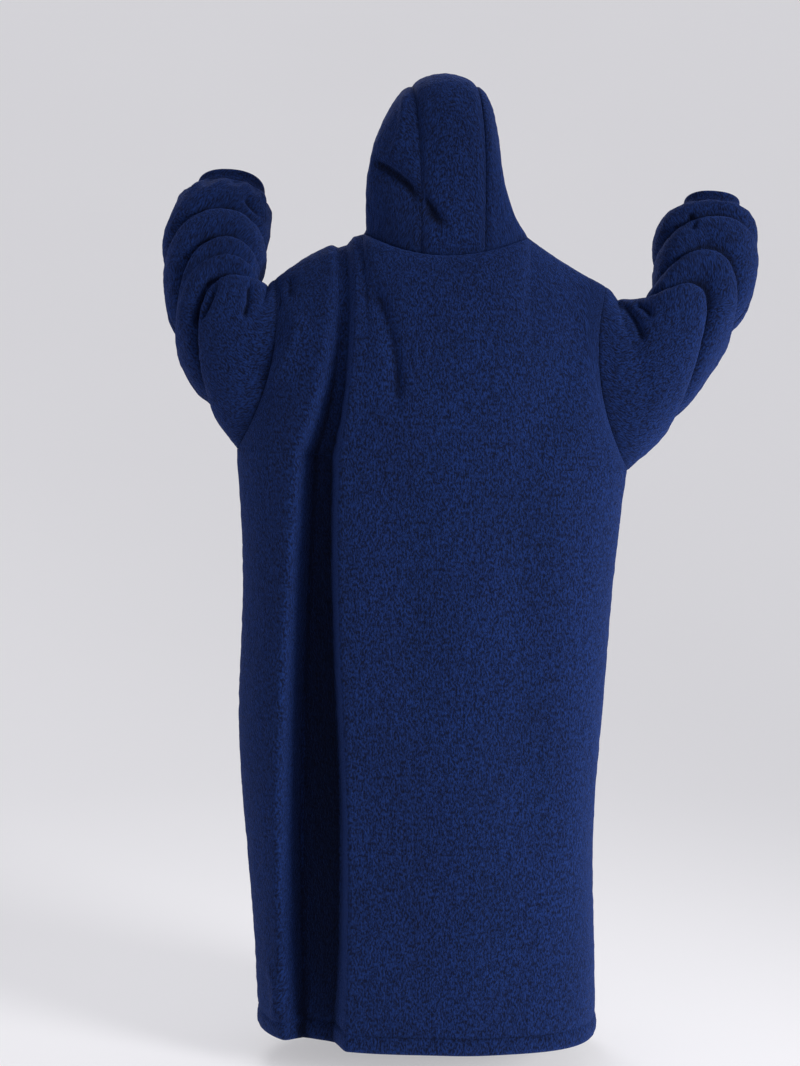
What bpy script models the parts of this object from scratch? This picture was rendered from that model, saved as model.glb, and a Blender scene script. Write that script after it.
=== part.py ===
"""A wearable blanket hoodie of thick navy pile fleece, in the shape that it has when it is worn.

The hood is up, both elbows are bent and the sleeves are raised. Metres, +Z up, the front faces -Y and the
garment's left is +X. The origin lies inside, between the shoulders, at the base of the neck.

Each piece of cloth is a grid of points on the middle of the cloth. Pieces that are sewn together take the
same points along their seam, and the cloth's thickness is added along normals that they share there.
"""

import bpy
import numpy as np

# The cloth and the way it is sewn.
CLOTH = 0.004  # backing and pile together
SEAM_GAP = 0.0003  # between two pieces along a seam
HEM_BAND = 0.028  # the turned-up hem, from its fold to its stitching
STITCH_DIP = 0.003  # how deep stitching and seams press into the pile
HEM_HEIGHTS = 0, 0.5, 1, 1.6  # its rows, as shares of the band: the stitching runs along the third
# The hem's section, as rows up from its fold and shares of the stitching's depth: a band, then the groove.
HEM_STOPS = 0, 0.5, 1, 1.4, 1.75, 2, 2.25, 2.6, 3
HEM_PROFILE = 0.0, 0.5, 0.6, 0.5, -0.2, -1.0, -0.5, -0.1, 0
UNDERARM_EASE = 0.0001  # the sleeves stay this much further from the armholes, for the sharp turn underarm
FACE_EDGE_GAP = 0.0015  # each front edge of the hood stays this far from the centre front

# Heights on the body.
HEM_Z = -1.343
UNDERARM_RIGHT_Z = -0.394
UNDERARM_LEFT_Z = -0.357

# Columns across a body panel, from the right side seam to the left one.
SHOULDER_RIGHT = 6
NECK_BACK = 20
NECK_FRONT = 24
SHOULDER_LEFT = 10
FOLD_RIDGE, FOLD_FOOT, FOLD_FAR_FOOT, FOLD_FAR_RIDGE = 1, 3, 5, 7  # columns past the neck's left end

# Rows up a body panel.
HEM_ROWS = 3
SKIRT_ROWS = 11
ARMHOLE_ROWS = 12
SIDE_ROWS = HEM_ROWS + SKIRT_ROWS
PANEL_ROWS = SIDE_ROWS + ARMHOLE_ROWS

SLEEVE_ROWS = 32
CUFF_ROWS = 2
CUFF_LENGTH = 0.022
CUFF_WAIST = 0.06  # share by which a cuff is tighter in its middle
HOOD_ROWS = NECK_FRONT // 2
HOOD_RIGHT_SEAM, HOOD_LEFT_SEAM = 7, 12  # the neck columns where the hood's two long seams end


def table(names, *rows):
    """A short table as a dictionary of its named columns."""
    return dict(zip(names.split(), np.array(rows, float).T))


# Half-widths and depths of the body's outline at each height. Box is the exponent of the rounded
# outline: 2 is an ellipse, and more is squarer. Neck is where the neck's ends fall on the back.
BODY = table(
    "z     left   right  back   front  box_left box_right neck_left neck_right",
    (-1.343, 0.294, 0.281, 0.206, 0.185, 2.3, 3.4, 0.105, -0.205),
    (-1.180, 0.301, 0.278, 0.203, 0.183, 2.3, 3.3, 0.105, -0.205),
    (-1.000, 0.315, 0.276, 0.198, 0.180, 2.3, 3.2, 0.105, -0.205),
    (-0.800, 0.325, 0.291, 0.192, 0.176, 2.3, 3.0, 0.110, -0.205),
    (-0.600, 0.317, 0.307, 0.182, 0.168, 2.2, 2.8, 0.115, -0.205),
    (-0.375, 0.326, 0.333, 0.173, 0.162, 2.1, 2.5, 0.118, -0.205),
)
# The deep fold that runs down the left of the back, as places across the back and its depth.
FOLD = table(
    "z      ridge  foot   far_foot far_ridge depth",
    (-1.343, 0.138, 0.164, 0.206, 0.250, 0.046),
    (-1.250, 0.136, 0.156, 0.210, 0.254, 0.074),
    (-1.100, 0.134, 0.150, 0.214, 0.258, 0.090),
    (-0.900, 0.136, 0.151, 0.214, 0.256, 0.092),
    (-0.700, 0.146, 0.161, 0.208, 0.250, 0.086),
    (-0.500, 0.150, 0.165, 0.198, 0.238, 0.072),
    (-0.375, 0.148, 0.163, 0.190, 0.230, 0.060),
)
FOLD_AT_SHOULDER = 0.010
FOLD_SHARES = 0.10, 0.19, 0.27, 0.38  # where the fold's four lines reach the shoulder seam
# Soft troughs of the body panels: both ends across and up, depth and half-width. A ridge has less than 0.
BACK_TROUGHS = (
    (0.060, -0.300, 0.020, -0.900, 0.006, 0.050),
    (-0.140, -0.250, -0.170, -1.150, 0.006, 0.045),
    (-0.050, -0.700, -0.060, -1.343, -0.006, 0.060),
    (-0.255, -0.110, -0.150, -0.420, 0.007, 0.040),
)
FRONT_TROUGHS = (
    (0.100, -0.180, 0.150, -1.343, 0.026, 0.042),
    (-0.120, -0.250, -0.165, -1.343, 0.022, 0.040),
    (0.000, -0.450, 0.010, -1.343, 0.014, 0.040),
    (0.225, -0.400, 0.235, -1.343, -0.012, 0.034),
    (-0.060, -0.120, -0.020, -0.420, 0.008, 0.040),
)
TROUGH_FADE = 0.3  # share of its length over which a trough starts and ends
TROUGH_CLEAR = 3  # columns beside the side seams in which the troughs fade out
TROUGH_TOP = 0.25  # share of the height above the underarm in which they do

# The neck seam: a ring that is lowest at the front.
NECK_X, NECK_HALF, NECK_BACK_Y, NECK_FRONT_Y = -0.0265, 0.1385, 0.082, -0.098
NECK_RIGHT_Z, NECK_LEFT_Z, NECK_BACK_Z, NECK_FRONT_Z = -0.003, 0.004, -0.036, -0.080

# The armholes, from the end of the shoulder seam to the underarm.
ARMHOLE = table(
    "side  shoulder_x shoulder_z underarm_x underarm_z inward back_y front_y",
    (-1, -0.296, -0.084, -0.333, UNDERARM_RIGHT_Z, 0.034, 0.086, 0.080),
    (1, 0.262, -0.072, 0.326, UNDERARM_LEFT_Z, 0.030, 0.086, 0.080),
)
SHOULDER_ARCH_RIGHT, SHOULDER_ARCH_LEFT = -0.004, 0.011
SHOULDER_ROUND = 1.8  # exponent of the curve in which the panels round over to the shoulders
ARMHOLE_BLEND = 1.6  # columns over which a panel takes up the armhole's depth

# Sleeves: the edge towards the head, the outer edge, the middle's place front to back, the half-depth
# and how far the ring leans forward as the forearm does, at shares of the sleeve's length.
SLEEVE_RIGHT = table(
    "share in_x   in_z    out_x   out_z   mid_y  half_y lean",
    (0.00, -0.296, -0.084, -0.335, -0.394, 0.003, 0.083, 0),
    (0.12, -0.325, -0.102, -0.364, -0.368, 0.000, 0.089, 5),
    (0.25, -0.348, -0.108, -0.419, -0.313, -0.005, 0.097, 14),
    (0.38, -0.363, -0.106, -0.475, -0.232, -0.010, 0.101, 24),
    (0.50, -0.376, -0.092, -0.523, -0.154, -0.022, 0.099, 32),
    (0.62, -0.381, -0.064, -0.553, -0.092, -0.042, 0.094, 37),
    (0.75, -0.382, -0.024, -0.565, -0.024, -0.072, 0.088, 40),
    (0.87, -0.396, 0.014, -0.561, 0.016, -0.102, 0.080, 38),
    (0.95, -0.420, 0.034, -0.548, 0.030, -0.118, 0.066, 30),
    (1.00, -0.440, 0.050, -0.536, 0.042, -0.124, 0.050, 22),
)
SLEEVE_LEFT = table(
    "share in_x   in_z    out_x   out_z   mid_y  half_y lean",
    (0.00, 0.262, -0.072, 0.327, -0.357, 0.003, 0.083, 0),
    (0.12, 0.275, -0.079, 0.349, -0.328, 0.000, 0.087, 6),
    (0.25, 0.283, -0.081, 0.395, -0.266, -0.005, 0.094, 18),
    (0.38, 0.288, -0.076, 0.431, -0.193, -0.012, 0.100, 30),
    (0.50, 0.286, -0.058, 0.449, -0.124, -0.026, 0.100, 38),
    (0.62, 0.280, -0.034, 0.457, -0.066, -0.050, 0.096, 43),
    (0.75, 0.278, 0.000, 0.459, -0.012, -0.084, 0.090, 45),
    (0.87, 0.277, 0.034, 0.445, 0.034, -0.116, 0.082, 43),
    (0.95, 0.282, 0.056, 0.432, 0.060, -0.136, 0.070, 39),
    (1.00, 0.294, 0.072, 0.411, 0.078, -0.147, 0.055, 35),
)
# The creases between the sleeves' rolls of cloth: where each crosses the inner, back, outer and front side,
# its depth on those sides, and how fast the cloth rises again after it, as a share of the length.
CREASES_RIGHT = table(
    "inner back   outer  front  deep_inner deep_back deep_outer deep_front after",
    (0.070, 0.150, 0.120, 0.120, 0.012, 0.003, 0.000, 0.003, 0.036),
    (0.300, 0.500, 0.240, 0.440, 0.012, 0.030, 0.012, 0.020, 0.046),
    (0.500, 0.655, 0.500, 0.570, 0.010, 0.022, 0.010, 0.018, 0.040),
    (0.700, 0.800, 0.740, 0.710, 0.012, 0.022, 0.004, 0.014, 0.038),
)
CREASES_LEFT = table(
    "inner back   outer  front  deep_inner deep_back deep_outer deep_front after",
    (0.080, 0.150, 0.120, 0.120, 0.010, 0.000, 0.000, 0.003, 0.036),
    (0.290, 0.415, 0.200, 0.390, 0.012, 0.026, 0.012, 0.018, 0.040),
    (0.420, 0.510, 0.400, 0.460, 0.008, 0.012, 0.000, 0.008, 0.034),
    (0.520, 0.605, 0.420, 0.550, 0.010, 0.024, 0.012, 0.016, 0.040),
    (0.700, 0.765, 0.640, 0.690, 0.012, 0.022, 0.010, 0.014, 0.038),
)
CREASE_DROP = 0.036  # how fast the cloth drops into a crease, as a share of the length
SEAM_REACH = 0.06  # share of the length at each seam that the creases leave smooth
ARMHOLE_REACH = 0.2  # share of it over which the sleeve takes up the armhole's outline
SLEEVE_BOX = 2.3  # exponent of its rounded rings
GATHER_WAVES = 12
GATHER_HEIGHT = 0.003
GATHER_REACH = 0.12  # share of the sleeve that the cuff's gathers run back into

# The hood's middle line from the forehead over the crown to the nape, and how far its side panels swell
# sideways and outwards between the long seam and the neck.
HOOD = table(
    "share x      y       z      swell_right swell_left swell_out",
    (0.00, 0.004, -0.132, 0.214, 0.076, 0.072, 0.000),
    (0.12, -0.008, -0.095, 0.249, 0.066, 0.065, 0.004),
    (0.25, -0.018, -0.042, 0.267, 0.048, 0.055, 0.010),
    (0.38, -0.023, 0.018, 0.268, 0.033, 0.044, 0.016),
    (0.50, -0.027, 0.072, 0.247, 0.022, 0.034, 0.022),
    (0.62, -0.032, 0.107, 0.199, 0.013, 0.024, 0.024),
    (0.75, -0.036, 0.121, 0.131, 0.004, 0.012, 0.020),
    (0.87, -0.037, 0.112, 0.058, 0.000, 0.000, 0.012),
    (1.00, -0.037, 0.083, -0.036, 0.000, 0.000, 0.000),
)
HOOD_STRIP_HALF = 0.053
HOOD_STRIP_DROP = 0.017
# Its sides stand up from the neck: the share of the way out that they reach at once below the long seams.
# The right one flares to the neck seam at its foot.
HOOD_WAIST_RIGHT, HOOD_WAIST_LEFT = 0.33, 0.96
HOOD_ROUND_RIGHT, HOOD_ROUND_LEFT = 4.5, 3.6
HOOD_FLARE = 20
HOOD_BOW = 0.65  # exponent of the sides' swelling: less than 1 is fuller
FACE_REACH = 0.15  # share of the middle line behind the face edge in which the sides start to stand up
NAPE_START = 0.55  # share from which the cloth turns in to the neck's back
SEAM_PRESS = 0.32  # columns over which the pile sinks to a long seam
PRESS_FADE = 0.3  # how fast that fades at the ends: less is faster
NUDGE = 1e-4  # share of the middle line over which its direction is taken

NAVY = (0.016, 0.040, 0.150, 1.0)
FINE_GRID = 271828.18  # steps in a metre, odd enough for no neat size to fall between two of them


def smooth(table_, name, at):
    """The named column against the table's first one, on a natural cubic spline, held at its ends."""
    x, y = next(iter(table_.values())), table_[name]
    at = np.clip(at, x[0], x[-1])
    step = np.diff(x)
    slope = np.diff(y) / step
    system, right = np.eye(len(x)), np.zeros(len(x))
    for i in range(1, len(x) - 1):
        system[i, i - 1 : i + 2] = step[i - 1], 2 * (step[i - 1] + step[i]), step[i]
        right[i] = 6 * (slope[i] - slope[i - 1])
    bend = np.linalg.solve(system, right)
    i = np.clip(np.searchsorted(x, at) - 1, 0, len(x) - 2)
    after, before, h = x[i + 1] - at, at - x[i], step[i]
    return (
        (bend[i] * after**3 + bend[i + 1] * before**3) / (6 * h)
        + (y[i] / h - bend[i] * h / 6) * after
        + (y[i + 1] / h - bend[i + 1] * h / 6) * before
    )


def ease(t):
    """0 to 1 with flat ends."""
    t = np.clip(t, 0, 1)
    return t * t * (3 - 2 * t)


def unit(v):
    return v / np.maximum(np.linalg.norm(v, axis=-1, keepdims=True), 1e-12)


def points(x, y, z):
    return np.stack(np.broadcast_arrays(x, y, z), axis=-1)


def neck_ring(angle, front):
    """The neck seam at an angle from the right, 0, to the left, pi, over the back or the front."""
    mid_y, mid_z = (NECK_FRONT_Y, NECK_FRONT_Z) if front else (NECK_BACK_Y, NECK_BACK_Z)
    side_z = NECK_RIGHT_Z + (NECK_LEFT_Z - NECK_RIGHT_Z) * (1 - np.cos(angle)) / 2
    return points(
        NECK_X - NECK_HALF * np.cos(angle),
        mid_y * np.sin(angle),
        side_z + (mid_z - side_z) * np.sin(angle) ** 2,
    )


def armhole(side, angle):
    """An armhole seam: angle 0 is the shoulder, pi/2 the back, pi the underarm and 3pi/2 the front."""
    row = {name: column[(side + 1) // 2] for name, column in ARMHOLE.items()}
    down = (1 - np.cos(angle)) / 2
    x = row["shoulder_x"] + (row["underarm_x"] - row["shoulder_x"]) * down
    y = np.where(np.sin(angle) > 0, row["back_y"], row["front_y"]) * np.sin(angle)
    return points(
        x - side * row["inward"] * np.sin(angle) ** 2,
        y,
        row["shoulder_z"] + (row["underarm_z"] - row["shoulder_z"]) * down,
    )


def shoulder_seam(side, share, fold):
    """A shoulder seam from the neck, share 0, to the armhole, share 1, with the dip of the deep fold."""
    start = neck_ring(np.pi * (side > 0), False)
    end = armhole(side, 0.0)
    line = start + (end - start) * share[..., None]
    arch = SHOULDER_ARCH_RIGHT if side < 0 else SHOULDER_ARCH_LEFT
    line[..., 2] += arch * np.sin(np.pi * share) - FOLD_AT_SHOULDER * fold
    return line


def across_fold(columns):
    """How much of the deep fold's depth each column takes, counted from the neck's left end."""
    down = ease((columns - FOLD_RIDGE) / (FOLD_FOOT - FOLD_RIDGE))
    return down * ease((FOLD_FAR_RIDGE - columns) / (FOLD_FAR_RIDGE - FOLD_FAR_FOOT))


def top_edge(columns, front):
    """The upper edge of a body panel: right shoulder seam, neck, left shoulder seam."""
    neck = NECK_FRONT if front else NECK_BACK
    right = shoulder_seam(-1, 1 - np.clip(columns / SHOULDER_RIGHT, 0, 1), 0 * columns)
    middle = neck_ring(np.pi * np.clip((columns - SHOULDER_RIGHT) / neck, 0, 1), front)
    past = columns - SHOULDER_RIGHT - neck
    lines = (0, FOLD_RIDGE, FOLD_FOOT, FOLD_FAR_FOOT, FOLD_FAR_RIDGE, SHOULDER_LEFT)
    left = shoulder_seam(1, np.interp(past, lines, (0, *FOLD_SHARES, 1)), across_fold(past))
    which = np.digitize(columns, (SHOULDER_RIGHT, SHOULDER_RIGHT + neck))[..., None]
    return np.choose(which, (right, middle, left))


def outline(angle, z, front, proud):
    """A point of the body's rounded outline at an angle from its middle, some way proud of it."""
    left = np.cos(angle) > 0
    half = np.where(left, smooth(BODY, "left", z), smooth(BODY, "right", z)) + proud
    box = np.where(left, smooth(BODY, "box_left", z), smooth(BODY, "box_right", z))
    depth = smooth(BODY, "front" if front else "back", z) + proud
    reach = (np.abs(np.cos(angle) / half) ** box + np.abs(np.sin(angle) / depth) ** box) ** (-1 / box)
    return reach * np.cos(angle), reach * np.sin(angle)


def depth_at(x, z, front):
    """How far the body's outline reaches to the front or back at x."""
    half = np.where(x > 0, smooth(BODY, "left", z), smooth(BODY, "right", z))
    box = np.where(x > 0, smooth(BODY, "box_left", z), smooth(BODY, "box_right", z))
    depth = smooth(BODY, "front" if front else "back", z)
    return depth * (1 - np.minimum(np.abs(x / half), 1) ** box) ** (1 / box)


def trough_depth(x, z, troughs):
    """How deep the soft troughs are at a point: a bell across each one, fading towards its ends."""
    depth = 0.0
    for x0, z0, x1, z1, deep, half in troughs:
        length = np.hypot(x1 - x0, z1 - z0)
        along = ((x - x0) * (x1 - x0) + (z - z0) * (z1 - z0)) / length
        across = ((x - x0) * (z1 - z0) - (z - z0) * (x1 - x0)) / length
        fade = ease(along / (TROUGH_FADE * length))
        fade = fade * np.where(z1 <= HEM_Z, 1, ease((length - along) / (TROUGH_FADE * length)))
        depth = depth + deep * np.exp(-((across / half) ** 2)) * fade
    return depth


def panel(front, columns, rows):
    """The front or back of the body: rows from the hem up to the shoulders, columns from right to left."""
    neck = NECK_FRONT if front else NECK_BACK
    last = SHOULDER_RIGHT + neck + SHOULDER_LEFT
    sign = -1 if front else 1

    # Below the underarm, each row is the outline at its height.
    underarm = UNDERARM_RIGHT_Z + (UNDERARM_LEFT_Z - UNDERARM_RIGHT_Z) * columns / last
    hem = np.interp(rows, range(HEM_ROWS + 1), np.array(HEM_HEIGHTS) * HEM_BAND)
    up = np.clip((rows - HEM_ROWS) / SKIRT_ROWS, 0, 1)
    z = HEM_Z + hem + (underarm - HEM_Z - hem) * up
    stops = SHOULDER_RIGHT + np.array((0, neck))
    places = [smooth(BODY, "neck_right", z[:, 0]), smooth(BODY, "neck_left", z[:, -1])]
    if not front:
        stops = [*stops, *(stops[1] + np.array((FOLD_RIDGE, FOLD_FOOT, FOLD_FAR_FOOT, FOLD_FAR_RIDGE)))]
        places += [smooth(FOLD, name, z[:, -1]) for name in ("ridge", "foot", "far_foot", "far_ridge")]
    angles = [np.arctan2(depth_at(place, z[:, 0], front), place) for place in places]
    angle = np.array(
        [
            np.interp(columns, [0, *stops, last], [np.pi, *row, 0])
            for row in zip(*angles)
        ]
    )
    hem_shape = np.interp(rows, HEM_STOPS, np.array(HEM_PROFILE) * STITCH_DIP)
    x, y = outline(angle, z, front, hem_shape)
    skirt = points(x, sign * y, z)

    # Above it, the panel runs up between the armholes and rounds over to the shoulders.
    up = np.clip((rows - SIDE_ROWS) / ARMHOLE_ROWS, 0, 1)
    right, left = (armhole(side, np.pi * (1 - sign * up)) for side in (-1, 1))
    top = top_edge(columns, front)
    under = skirt[np.searchsorted(rows[:, 0], SIDE_ROWS)]
    share_under = (under[:, 0] - under[0, 0]) / (under[-1, 0] - under[0, 0])
    share_top = (top[:, 0] - top[0, 0]) / (top[-1, 0] - top[0, 0])
    share = share_under + (share_top - share_under) * ease(up)
    height = (1 - np.cos(np.pi * up)) / 2
    round_over = (1 - height**SHOULDER_ROUND) ** (1 / SHOULDER_ROUND)
    near_right, near_left = (np.exp(-((past / ARMHOLE_BLEND) ** 2)) for past in (columns, last - columns))
    x = right[..., 0] + (left[..., 0] - right[..., 0]) * share
    y = top[:, 1] + (sign * depth_at(x, underarm, front) - top[:, 1]) * round_over
    y = y + (right[..., 1] - y[:, :1]) * near_right + (left[..., 1] - y[:, -1:]) * near_left
    yoke = points(x, y, under[:, 2] + (top[:, 2] - under[:, 2]) * height)
    cloth = np.where((rows > SIDE_ROWS)[..., None], yoke, skirt)

    # Folds press the cloth in, and at the shoulder they press it down.
    inside = ease(np.minimum(columns, last - columns) / TROUGH_CLEAR) * ease((1 - up) / TROUGH_TOP)
    press = trough_depth(cloth[..., 0], cloth[..., 2], FRONT_TROUGHS if front else BACK_TROUGHS) * inside
    if not front:
        press = press + across_fold(columns - stops[1]) * smooth(FOLD, "depth", z) * (1 - ease(up))
    way = unit(points(0, -sign * (1 - ease(up)), -ease(up) + 0 * columns))
    return cloth + way * press[..., None]


def sleeve(side, share, angle):
    """A sleeve: rows from the armhole to the cuff, columns down the back and up the front."""
    sizes = SLEEVE_RIGHT if side < 0 else SLEEVE_LEFT
    creases = CREASES_RIGHT if side < 0 else CREASES_LEFT
    cloth = ring(sizes, share, angle)
    hollow = 0.0
    for crease in zip(*creases.values()):
        inner, back, outer, front, deep_inner, deep_back, deep_outer, deep_front, after = crease
        place = round_the_ring(angle, inner, back, outer, front)
        depth = round_the_ring(angle, deep_inner, deep_back, deep_outer, deep_front)
        half = np.where(share < place, CREASE_DROP, after)
        hollow = hollow + depth / (1 + ((share - place) / half) ** 2)
    gathers = GATHER_HEIGHT * np.cos(GATHER_WAVES * angle) * np.sin(
        np.pi * np.clip((share - 1 + GATHER_REACH) / GATHER_REACH, 0, 1)
    )
    ends = ease(share / SEAM_REACH) * ease((1 - share) / SEAM_REACH)
    middle = cloth.mean(axis=1, keepdims=True)
    cloth = cloth + unit(middle - cloth) * (hollow * ends - gathers)[..., None]
    start = armhole(side, angle)
    return cloth + (start - cloth[0]) * (1 - ease(share / ARMHOLE_REACH))[..., None]


def round_the_ring(angle, inner, back, outer, front):
    """A value that passes through the four sides of a ring in turn."""
    middle = (inner + outer) / 2 + (inner - outer) / 2 * np.cos(angle)
    side = np.where(np.sin(angle) > 0, back, front) - (inner + outer) / 2
    return middle + side * np.sin(angle) ** 2


def ring(sizes, share, angle):
    """Rounded rings between a sleeve's two edges, leaning forward as the table says."""
    value = {name: smooth(sizes, name, share) for name in sizes}
    lean = np.radians(value["lean"])
    across = np.sign(np.cos(angle)) * np.abs(np.cos(angle)) ** (2 / SLEEVE_BOX)
    deep = np.sign(np.sin(angle)) * np.abs(np.sin(angle)) ** (2 / SLEEVE_BOX) * value["half_y"]
    inward = (1 + across) / 2
    return points(
        value["out_x"] + (value["in_x"] - value["out_x"]) * inward,
        value["mid_y"] + deep * np.cos(lean),
        value["out_z"] + (value["in_z"] - value["out_z"]) * inward + deep * np.sin(lean),
    )


def cuff(end, before, share):
    """A narrow band that goes on from the sleeve's last ring, a little tighter in its middle."""
    along = unit((end - before).mean(axis=0))
    middle = end.mean(axis=0)
    shrink = 1 - CUFF_WAIST * np.sin(np.pi * share)
    return middle + (end - middle) * shrink + along * CUFF_LENGTH * share


def hood(columns, share):
    """The whole hood: rows from the face edge to the neck's back, columns from right to left."""
    value = {name: smooth(HOOD, name, share) for name in HOOD}
    rise = smooth(HOOD, "z", share + NUDGE) - smooth(HOOD, "z", share - NUDGE)
    run = smooth(HOOD, "y", share + NUDGE) - smooth(HOOD, "y", share - NUDGE)
    out_y, out_z = -rise / np.hypot(rise, run), run / np.hypot(rise, run)

    middle = (HOOD_RIGHT_SEAM + HOOD_LEFT_SEAM) / 2
    strip = np.clip((columns - middle) / (HOOD_LEFT_SEAM - middle), -1, 1)
    drop = HOOD_STRIP_DROP * strip**2
    seam = points(
        value["x"] + HOOD_STRIP_HALF * strip,
        value["y"] - out_y * drop,
        value["z"] - out_z * drop,
    )
    turn = np.pi / 2 * share
    right = neck_ring(np.pi / 2 - turn, True)
    left = neck_ring(np.pi / 2 + turn, True)
    down_right = np.clip((HOOD_RIGHT_SEAM - columns) / HOOD_RIGHT_SEAM, 0, 1)
    down_left = np.clip((columns - HOOD_LEFT_SEAM) / (NECK_BACK - HOOD_LEFT_SEAM), 0, 1)
    cloth = (
        seam * (1 - down_right - down_left)[:, None]
        + right * down_right[:, None]
        + left * down_left[:, None]
    )
    cloth[..., 0] = seam[..., 0]
    for down, neck, waist, turn_in in (
        (down_right, right, HOOD_WAIST_RIGHT, HOOD_ROUND_RIGHT),
        (down_left, left, HOOD_WAIST_LEFT, HOOD_ROUND_LEFT),
    ):
        reach = waist * (1 - (1 - down) ** turn_in) + (1 - waist) * down**HOOD_FLARE
        cloth[..., 0] += (neck[..., 0] - seam[..., 0]) * (down + (reach - down) * ease(share / FACE_REACH))
    bow = np.abs(np.sin(np.pi * (down_right + down_left))) ** HOOD_BOW
    sideways = np.where(columns < middle, -value["swell_right"], value["swell_left"])
    outwards = value["swell_out"] * bow
    cloth = cloth + points(sideways * bow, out_y * outwards, out_z * outwards)
    for line in (HOOD_RIGHT_SEAM, HOOD_LEFT_SEAM):
        near = np.exp(-(((columns - line) / SEAM_PRESS) ** 2))
        pressed = STITCH_DIP * near * np.sin(np.pi * share) ** PRESS_FADE
        cloth = cloth - points(0, out_y * pressed, out_z * pressed)
    nape = neck_ring(np.pi * columns / NECK_BACK, False)
    return cloth + (nape - cloth[-1]) * ease((share - NAPE_START) / (1 - NAPE_START))[..., None]


def corner_sum(grid, closed):
    """Normals at the grid's points, from the faces round them."""
    if closed:
        grid = np.concatenate([grid, grid[:, :1]], axis=1)
    face = np.cross(grid[1:, 1:] - grid[:-1, :-1], grid[:-1, 1:] - grid[1:, :-1])
    total = np.zeros(grid.shape)
    for i in (0, 1):
        for j in (0, 1):
            total[i : i + len(face), j : j + face.shape[1]] += face
    if closed:
        total[:, 0] += total[:, -1]
        total = total[:, :-1]
    return total


def share_normals(grids, closed):
    """One unit normal for each point, the same for all pieces that meet in it."""
    totals = {name: corner_sum(grid, closed[name]) for name, grid in grids.items()}
    places = np.concatenate([grid.reshape(-1, 3) for grid in grids.values()])
    normals = np.concatenate([total.reshape(-1, 3) for total in totals.values()])
    _, same = np.unique(np.round(places * FINE_GRID), axis=0, return_inverse=True)
    summed = np.zeros((same.max() + 1, 3))
    np.add.at(summed, same.reshape(-1), normals)
    normals = unit(summed[same.reshape(-1)])
    found, start = {}, 0
    for name, grid in grids.items():
        count = grid.shape[0] * grid.shape[1]
        found[name] = normals[start : start + count].reshape(grid.shape)
        start += count
    return found


def draw_back(grid, normals, closed, edges):
    """Moves the grid's edge points into the piece by the move that edges gives for each edge's name.

    A seam's points move square to the seam. A wider gap's points move along the rows or columns, so that its
    corners slide along the seams there.
    """
    moved = grid.copy()
    for name, move in edges.items():
        edge, beside = {
            "first": ((0,), (1,)),
            "last": ((-1,), (-2,)),
            "right": ((slice(None), 0), (slice(None), 1)),
            "left": ((slice(None), -1), (slice(None), -2)),
        }[name]
        line, inner, up = grid[edge], grid[beside], normals[edge]
        if closed:
            along = np.roll(line, -1, axis=0) - np.roll(line, 1, axis=0)
        else:
            along = np.gradient(line, axis=0)
        square = unit(np.cross(along, up))
        square *= np.sign(((inner - line) * square).sum(axis=-1, keepdims=True))
        if move > SEAM_GAP:
            square = unit(inner - line)
        moved[edge] += square * move
    return moved


def build(name, grid, normals, closed, edges, parent, material):
    """One piece of cloth as an object: its outer and inner face, and the rim between them."""
    skew = (grid @ np.array((0.37, 0.61, 0.70))).reshape(-1)
    grid = draw_back(grid, normals, closed, edges)
    rows, columns = grid.shape[:2]
    vertices = np.concatenate(
        [(grid + normals * CLOTH / 2).reshape(-1, 3), (grid - normals * CLOTH / 2).reshape(-1, 3)]
    )
    inner = rows * columns
    number = np.arange(inner).reshape(rows, columns)
    if closed:
        number = np.concatenate([number, number[:, :1]], axis=1)
    a, b, c, d = number[:-1, :-1], number[:-1, 1:], number[1:, 1:], number[1:, :-1]
    outer_faces = np.stack([a, d, c, b], axis=-1).reshape(-1, 4)
    faces = [*outer_faces.tolist(), *(outer_faces[:, ::-1] + inner).tolist()]
    rims = [number[0], number[-1, ::-1]]
    if not closed:
        rims += [number[::-1, 0], number[:, -1]]
    for rim in rims:
        for start, end in zip(rim[:-1], rim[1:]):
            # The rim's diagonal leans the same way on both sides of a seam, so that the gap stays even.
            if skew[start] > skew[end]:
                faces += [(start, end, end + inner), (start, end + inner, start + inner)]
            else:
                faces += [(start, end, start + inner), (end, end + inner, start + inner)]
    mesh = bpy.data.meshes.new(name)
    mesh.from_pydata(vertices.tolist(), [], [tuple(map(int, face)) for face in faces])
    mesh.validate()
    mesh.shade_smooth()
    mesh.set_sharp_from_angle(angle=np.radians(60))
    mesh.materials.append(material)
    piece = bpy.data.objects.new(name, mesh)
    piece.parent = parent
    bpy.context.scene.collection.objects.link(piece)
    return piece


def fleece():
    material = bpy.data.materials.new("navy_fleece")
    material.use_nodes = True
    surface = material.node_tree.nodes["Principled BSDF"]
    surface.inputs["Base Color"].default_value = NAVY
    surface.inputs["Roughness"].default_value = 0.95
    surface.inputs["Metallic"].default_value = 0.0
    return material


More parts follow.
